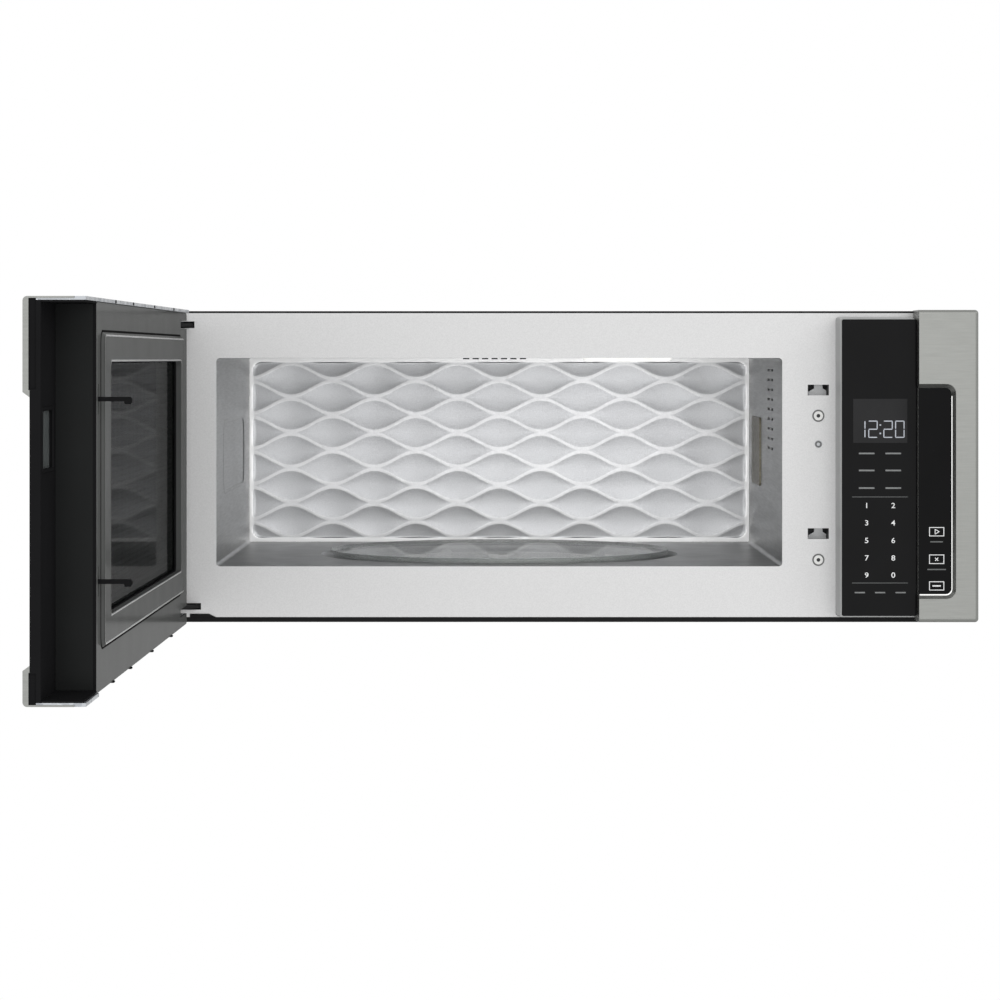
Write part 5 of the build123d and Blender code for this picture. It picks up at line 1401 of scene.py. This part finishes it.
@dataclass
class TouchStrip:
    """The three outlined keys on the black strip of the right trim, and the painted highlights along the
    trim's edges.
    """

    outline: float = 0.6
    print_thickness: float = 0.12
    key_x: Span = (338.8, 351.3)
    keys_z: tuple[Span, ...] = ((-56.7, -49.1), (-79.7, -71.9), (-101.7, -94.2))
    triangle: Pairs = ((2.1, 0.0), (-1.3, 2.0), (-1.3, -2.0))
    triangle_stroke: float = 0.55
    triangle_lap: float = 0.3      # extra length, so that its sides meet
    cross_size: tuple[float, float] = (3.6, 0.7)       # length and width of a stroke
    bar_size: tuple[float, float] = (7.0, 1.1)
    note_widths: tuple[float, float] = (10.5, 15.5)
    note_drop: float = 4.6         # below a key's lower edge
    note_height: float = 1.0
    recess_x: float = 357.6
    recess_z: Span = (-105.4, 60.0)
    recess_corner: float = 5.0
    corner_steps: int = 6
    lip_radius: float = 0.8
    lip_rise: float = 0.4          # of its middle over the glass
    lip_reach: float = 8.0         # how far it runs on to the left of the keys
    trim_cut: Span = (-112.0, 74.0)
    trim_end: float = 3.0          # from the trim's ends to the bright edge
    edge_radius: float = 0.35
    edge_inset: float = 0.5

    def framed(self, shape: Shape, y: Span) -> None:
        """Add the thin outline of each key.

        Args:
            shape: The piece that gets it.
            y: The Y span of the print.
        """
        left, right = self.key_x
        for low, high in self.keys_z:
            shape.block(self.key_x, y, (high - self.outline, high))
            shape.block(self.key_x, y, (low, low + self.outline))
            inner = (low + self.outline, high - self.outline)
            shape.block((left, left + self.outline), y, inner)
            shape.block((right - self.outline, right), y, inner)

    def start_mark(self, shape: Shape, y: Span, x: float, z: float) -> None:
        """Add an outlined triangle that points right.

        Args:
            shape: The piece that gets it.
            y: The Y span of the print.
            x: Its middle along X.
            z: Its middle along Z.
        """
        corners = [(x + right, z + up) for right, up in self.triangle]
        for (x1, z1), (x2, z2) in zip(corners, corners[1:] + corners[:1]):
            run = Vector((x2 - x1, 0, z2 - z1))
            bar = shape.block(around(0, run.length + self.triangle_lap), y, around(0, self.triangle_stroke))
            place = Matrix.Translation(Vector(((x1 + x2) / 2, 0, (z1 + z2) / 2)))
            shape.moved(bar, place @ Matrix.Rotation(-atan2(run.z, run.x), 4, "Y"))

    def marks(self, y: Span) -> None:
        """Print the outlines, the plain start, clear and open marks, and a note under two of the keys.

        Args:
            y: The Y span of the print.
        """
        middle = sum(self.key_x) / 2
        start, clear, unlatch = [sum(span) / 2 for span in self.keys_z]
        shape, notes = Shape(), Shape()
        self.framed(shape, y)
        self.start_mark(shape, y, middle, start)
        for angle in (pi / 4, -pi / 4):
            bar = shape.block(around(0, self.cross_size[0]), y, around(0, self.cross_size[1]))
            place = Matrix.Translation(Vector((middle, 0, clear)))
            shape.moved(bar, place @ Matrix.Rotation(angle, 4, "Y"))
        shape.block(around(middle, self.bar_size[0]), y, around(unlatch, self.bar_size[1]))
        Fitting("cabinet", "black_glass", LEGEND_WHITE).fit(shape, "touch_key_marks")
        for (low, _), width in zip(self.keys_z, self.note_widths):
            notes.block(around(middle, width), y, around(low - self.note_drop, self.note_height))
        Fitting("cabinet", "black_glass", LEGEND_FAINT).fit(notes, "touch_key_notes")

    def edges(self, front: float) -> None:
        """Painted highlights: the buffed lip of the recess, drawn only along its right side and bottom where
        the light falls, and the trim's sheared edge, drawn bright.

        Args:
            front: The Y of the glass.
        """
        # Both tubes are painted highlights in a near-white steel.
        fitting = Fitting("cabinet", "stainless", EDGE_HIGHLIGHT_STEEL)
        corner, x, y, (bottom, top) = self.recess_corner, self.recess_x, front - self.lip_rise, self.recess_z
        points = [(x, y, top), (x, y, bottom + corner)]
        for step in range(1, self.corner_steps + 1):
            angle = step / self.corner_steps * pi / 2
            points.append((x - corner + corner * cos(angle), y, bottom + corner - corner * sin(angle)))
        points.append((self.key_x[0] - self.lip_reach, y, bottom))
        lip, edge_highlight = Shape(), Shape()
        lip.tube(points, self.lip_radius)
        fitting.fit(lip, "recess_lip_highlight", True)
        (left, _), (face, _), (low, high) = node_box("right_trim")
        at = (left + self.edge_inset, face + self.edge_radius)
        for start, end in ((self.trim_cut[1], high - self.trim_end), (low + self.trim_end, self.trim_cut[0])):
            edge_highlight.tube([(*at, start), (*at, end)], self.edge_radius)
        fitting.fit(edge_highlight, "trim_edge_highlight", True)

    def build(self) -> None:
        """Fit the edges and print the marks."""
        front = node_box("touch_insert")[1][0]
        self.edges(front)
        self.marks((front - self.print_thickness, front))


# ---------------------------------------------------------------- the front frame
@dataclass
class FrameFittings:
    """Small parts on the front frame: buffers, a ring of painted shade round a screw, latch levers and the
    hinge plate's foot.
    """

    centre_x: float = 250.3
    buffer_z: tuple[float, float] = (42.8, -78.6)
    buffer_profile: Pairs = ((3.9, 0.0), (3.9, 1.2), (3.7, 1.4), (1.8, 1.4), (1.6, 1.2), (1.6, 0.5),
                             (0.0, 0.5))   # radius and rise, from the foot to the middle of the hole
    buffer_sides: int = 40
    hole_radius: float = 1.55
    hole_rise: float = 0.56        # of the dark disc of painted shade in the hole
    hole_floor: float = 0.1        # its thickness
    shade_ring_radius: float = 5.15
    shade_ring_section: Pairs = ((0.0, 0.0), (0.15, 0.45), (1.1, 0.45), (1.2, 0.0))
    screw_z: float = 18.9
    screw_ring_radius: float = 2.8
    screw_ring_section: Pairs = ((0.0, 0.75), (0.1, 1.0), (1.2, 1.0), (1.3, 0.75))
    slot_z: tuple[float, float] = (64.5, -56.5)
    lever_y: Span = (-394.5, -392.2)
    lever_shift: Pairs = ((2.2, -0.2), (2.2, -1.2))    # of each lever from its slot's middle
    lever_profile: Pairs = ((-8.6, -5.1), (8.6, -5.1), (8.6, -1.7), (3.7, 1.4), (3.4, 5.0),
                            (-3.4, 5.0), (-3.7, 1.4), (-8.6, -1.7))
    foot_outline: Pairs = ((-279.3, -126.8), (-257.4, -126.8), (-263.3, -124.0), (-279.3, -124.0))
    foot_thickness: float = 0.6

    def turned(self, profile: Pairs) -> Shape:
        """Turn a profile about the Y axis into a closed piece that points forward.

        Args:
            profile: Pairs of radius and height.

        Returns:
            The piece, with its foot at the origin.
        """
        shape = Shape()
        chain = [shape.mesh.verts.new((radius, -height, 0.0)) for radius, height in profile]
        edges = [shape.mesh.edges.new(pair) for pair in zip(chain, chain[1:])]
        bmesh.ops.spin(shape.mesh, geom=chain + edges, cent=(0, 0, 0), axis=(0, 1, 0), dvec=(0, 0, 0),
                       angle=2 * pi, steps=self.buffer_sides, use_merge=True)
        bmesh.ops.remove_doubles(shape.mesh, verts=shape.mesh.verts, dist=0.001)
        rim = [edge for edge in shape.mesh.edges if edge.is_boundary]
        bmesh.ops.contextual_create(shape.mesh, geom=rim)
        shape.outward()
        return shape

    def flat_ring(self, front: float, z: float, radius: float, section: Pairs) -> Shape:
        """Make a flat round ring on the frame.

        Args:
            front: The Y of the frame's face.
            z: The ring's height.
            radius: Its outer radius.
            section: Pairs of inset and rise.

        Returns:
            The ring.
        """
        shape = Shape()
        shape.ring(around(self.centre_x, 2 * radius), around(z, 2 * radius), radius - 0.01, section,
                   lambda a, b, height: (a, front - height, b))
        return shape

    def buffers(self, front: float) -> None:
        """Nylon buffers on the frame's face: a sloped shoulder, a flat top and a moulded hole, with a dark
        disc in the hole and a grey ring round the foot as painted shade.

        Args:
            front: The Y of the frame's face.
        """
        for number, z in enumerate(self.buffer_z, 1):
            shape = self.turned(self.buffer_profile)
            shape.moved(shape.mesh.verts, Matrix.Translation(Vector((self.centre_x, front, z))))
            replaced = ("door_bumpers",) if number == 1 else ()
            Fitting("cabinet", "white_nylon", NYLON, replaced).fit(shape, f"buffer_{number}", True)
            # A dark disc of painted shade in the hole.
            hole = Shape()
            middle = (self.centre_x, front - self.hole_rise, z)
            hole.disc(middle, self.hole_radius, self.hole_floor, Along.Y, 24)
            Fitting("cabinet", "black_plastic", DARK_PLASTIC).fit(hole, f"buffer_{number}_hole")
            # A flat grey ring of painted shade round the buffer's foot.
            shade_ring = self.flat_ring(front, z, self.shade_ring_radius, self.shade_ring_section)
            Fitting("cabinet", "black_plastic", SHADE_RING_RUBBER).fit(shade_ring, f"buffer_{number}_washer", True)

    def levers(self) -> None:
        """Bright stamped levers in the latch slots: full width below, a narrow tab above."""
        for number, (z, (right, up)) in enumerate(zip(self.slot_z, self.lever_shift), 1):
            shape = Shape()
            shape.plate([(self.centre_x + right + side, z + up + rise) for side, rise in self.lever_profile],
                        self.lever_y)
            Fitting("cabinet", "spring_steel", LEVER_STEEL).fit(shape, f"latch_lever_{number}")

    def build(self) -> None:
        """Fit them all."""
        front = node_box("front_frame")[1][0]
        self.buffers(front)
        # A flat grey ring of painted shade round the screw.
        flat_ring = self.flat_ring(front, self.screw_z, self.screw_ring_radius, self.screw_ring_section)
        Fitting("cabinet", "black_plastic", SHADE_RING_RUBBER).fit(flat_ring, "screw_shade_ring", True)
        self.levers()
        # The black foot of the lower hinge plate, which stands on the lip under the frame.
        foot = Shape()
        foot.plate(self.foot_outline, (front - self.foot_thickness, front))
        Fitting("cabinet", "black_painted_steel", BLACK_POWDER).fit(foot, "hinge_foot")


# ---------------------------------------------------------------- the door
@dataclass
class DoorInside:
    """What finishes the door's inner side: rims, the display's gasket, cover clips and the perforated screen.

    Spans are measured on the closed door, and hung() swings them to where the door stands at rest.
    """

    pin: tuple[float, float] = (-312.0, -454.5)
    open_angle: float = 90.5
    front: float = -418.0
    panel_x: Span = (-274.6, 237.4)
    panel_z: Span = (-101.6, 109.0)
    panel_radius: float = 8.0
    panel_out: float = 1.5         # raised panel to frame
    cover_out: float = 4.0
    window_x: Span = (-253.6, 203.9)
    window_z: Span = (-81.6, 89.0)
    window_radius: float = 5.0
    rim_size: tuple[float, float] = (1.3, 0.3)         # width and height
    rim_gap: float = 0.2           # between the window and its rim
    rim_inset: float = 1.6         # from the panel's edge to its rim
    groove_width: float = 1.6
    groove_height: float = 0.12
    pane_out: float = 7.1
    seal_section: Pairs = ((0.0, 0.0), (0.0, 1.4), (0.8, 1.4), (0.8, 0.0))
    step_x: Span = (261.95, 262.25)
    step_out: Span = (6.1, 30.8)
    step_margin: float = 1.5
    step_round: float = 0.1
    display_x: Span = (276.8, 321.9)
    display_z: Span = (20.6, 57.4)
    thin_out: float = 30.9
    gasket_width: float = 3.2
    gasket_radius: float = 4.0
    gasket_section: Pairs = ((0.0, 0.0), (0.6, 0.9), (2.4, 0.9), (3.0, 0.0))
    clip_x: tuple[float, ...] = (-201.0, -65.0, 71.0, 172.0)
    clip_width: float = 6.0
    tab_out: Span = (2.9, 5.6)
    tab_z: Span = (-1.1, 0.2)      # from the cover's lower edge
    tab_round: float = 0.3
    slot_shade_out: Span = (1.85, 2.05)
    slot_z: Span = (-2.2, -0.05)   # of the painted slot shade, from the chassis' upper edge
    screen_lap: float = 6.5
    screen_out: Span = (10.2, 10.8)
    hole_pitch: float = 4.0
    hole_share: float = 0.6        # side of a hole over the pitch

    def hung(self, x: float, out: float, z: float) -> Point:
        """Swing a point of the closed door to the open position.

        Args:
            x: Its X.
            out: Its distance in front of the frame.
            z: Its height.

        Returns:
            Where it stands at rest.
        """
        pivot = Vector((self.pin[0], self.pin[1], 0))
        turn = Matrix.Rotation(radians(-self.open_angle), 4, "Z")
        swung = turn @ (Vector((x, self.front - out, z)) - pivot) + pivot
        return (swung.x, swung.y, swung.z)

    def facing(self, out: float) -> Callable[[float, float, float], Point]:
        """A place function for rings that rise into the room from a face of the closed door."""
        return lambda x, z, height: self.hung(x, out - height, z)

    def rims(self) -> None:
        """Half-round rims round the raised panel and round the window, glossy and lighter as a painted
        highlight.
        """
        section = bead(*self.rim_size)
        inward = [(inset + self.rim_inset, height) for inset, height in section]
        width, gap = self.rim_size[0], self.rim_size[0] + self.rim_gap
        face = self.facing(self.panel_out)
        panel, window = Shape(), Shape()
        panel.ring(self.panel_x, self.panel_z, self.panel_radius, inward, face)
        window.ring(grown(self.window_x, gap), grown(self.window_z, gap), self.window_radius + width, section,
                    face)
        for shape, name in ((panel, "panel_rim"), (window, "window_rim")):
            Fitting("door", "grey_plastic", RIM_HIGHLIGHT_PLASTIC).fit(shape, name, True)

    def groove_shade(self) -> None:
        """A flat dark strip of painted shadow where the raised panel rises from the cover."""
        wide, rise = self.groove_width, self.groove_height
        shape = Shape()
        shape.ring(grown(self.panel_x, wide), grown(self.panel_z, wide), self.panel_radius + wide,
                   [(0.0, 0.0), (0.1, rise), (wide, rise), (wide + 0.1, 0.0)], self.facing(self.cover_out))
        Fitting("door", "grey_plastic", GROOVE_PLASTIC).fit(shape, "panel_groove_shadow")

    def seal(self) -> None:
        """The black seal between the window's opening and its pane."""
        shape = Shape()
        shape.ring(self.window_x, self.window_z, self.window_radius, self.seal_section,
                   self.facing(self.pane_out))
        Fitting("door", "black_plastic", LINER_PLASTIC).fit(shape, "window_seal")

    def step(self) -> None:
        """The smooth face of the step between the thick part of the door and its thin end, drawn lighter as
        painted light.
        """
        shape = Shape()
        tall = grown(node_box("end_liner")[2], -self.step_margin)
        shape.block(self.step_x, self.step_out, tall, self.step_round)
        shape.carried(self.hung)
        Fitting("door", "black_plastic", LIGHTER_STEP_PLASTIC).fit(shape, "step_face")

    def gasket(self) -> None:
        """The black lip round the display's opening in the thin end."""
        shape = Shape()
        shape.ring(grown(self.display_x, self.gasket_width), grown(self.display_z, self.gasket_width),
                   self.gasket_radius, self.gasket_section, self.facing(self.thin_out))
        Fitting("door", "black_plastic", LINER_PLASTIC).fit(shape, "display_gasket", True)

    def clips(self) -> None:
        """Black snap tabs of the cover under its lower edge, and thin black plates at the top that stand for
        the tabs' slots as painted shade.
        """
        low = node_box("choke_cover")[2][0]
        high = node_box("door_chassis")[2][1]
        shape = Shape()
        for x in self.clip_x:
            across = around(x, self.clip_width)
            shape.block(across, self.tab_out, (low + self.tab_z[0], low + self.tab_z[1]), self.tab_round)
            # A thin black plate of painted shade where a slot is.
            shape.block(across, self.slot_shade_out, (high + self.slot_z[0], high + self.slot_z[1]))
        shape.carried(self.hung)
        Fitting("door", "black_plastic", LINER_PLASTIC).fit(shape, "cover_clips_and_slot_shade")

    def screen(self) -> None:
        """Perforated choke screen. Its real holes are 1.3 mm and they are drawn about twice as large."""
        x = grown(self.window_x, self.screen_lap)
        z = grown(self.window_z, self.screen_lap)
        wide, tall = x[1] - x[0], z[1] - z[0]
        shape = Shape()
        bmesh.ops.create_grid(shape.mesh, x_segments=round(wide / self.hole_pitch),
                              y_segments=round(tall / self.hole_pitch), size=0.5)
        rims = set(bmesh.ops.inset_individual(shape.mesh, faces=shape.mesh.faces[:], thickness=0.0)["faces"])
        for vert in shape.mesh.verts:
            vert.co = Vector((sum(x) / 2 + vert.co.x * wide, 0.0, sum(z) / 2 + vert.co.y * tall))
        holes = [face for face in shape.mesh.faces if face not in rims]
        for face in holes:
            centre = face.calc_center_median()
            for vert in face.verts:
                vert.co = centre + (vert.co - centre) * self.hole_share
        bmesh.ops.delete(shape.mesh, geom=holes, context="FACES")
        near, far = self.screen_out
        bmesh.ops.solidify(shape.mesh, geom=shape.mesh.faces[:], thickness=far - near)
        low = min(vert.co.y for vert in shape.mesh.verts)
        shape.carried(lambda x, y, z: self.hung(x, near + y - low, z))
        Fitting("door", "screen_steel", SCREEN_STEEL, ("door_screen",)).fit(shape, "perforated_screen")

    def build(self) -> None:
        """Fit them all."""
        self.rims()
        self.groove_shade()
        self.seal()
        self.step()
        self.gasket()
        self.clips()
        self.screen()


# ---------------------------------------------------------------- everything together
SUB_ASSEMBLIES = (PressedBackWall, CavityFittings, GreaseFilters, ControlPanel, TouchStrip, FrameFittings,
                  DoorInside)


def dress_nodes() -> None:
    """Give every CAD node its finish."""
    left = set(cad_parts)
    for finish, nodes in NODE_FINISHES.items():
        for node in nodes:
            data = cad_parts[node].data
            data.materials.clear()
            data.materials.append(finish.material())
            left.discard(node)
        log.info("%s on %s", finish.name, ", ".join(nodes))
    for node in sorted(left):
        log.warning("%s has no finish", node)


def main() -> None:
    """Build and dress every sub-assembly."""
    Studio().build()
    dress_nodes()
    for part in SUB_ASSEMBLIES:
        part().build()


if __name__ == "__main__":
    main()
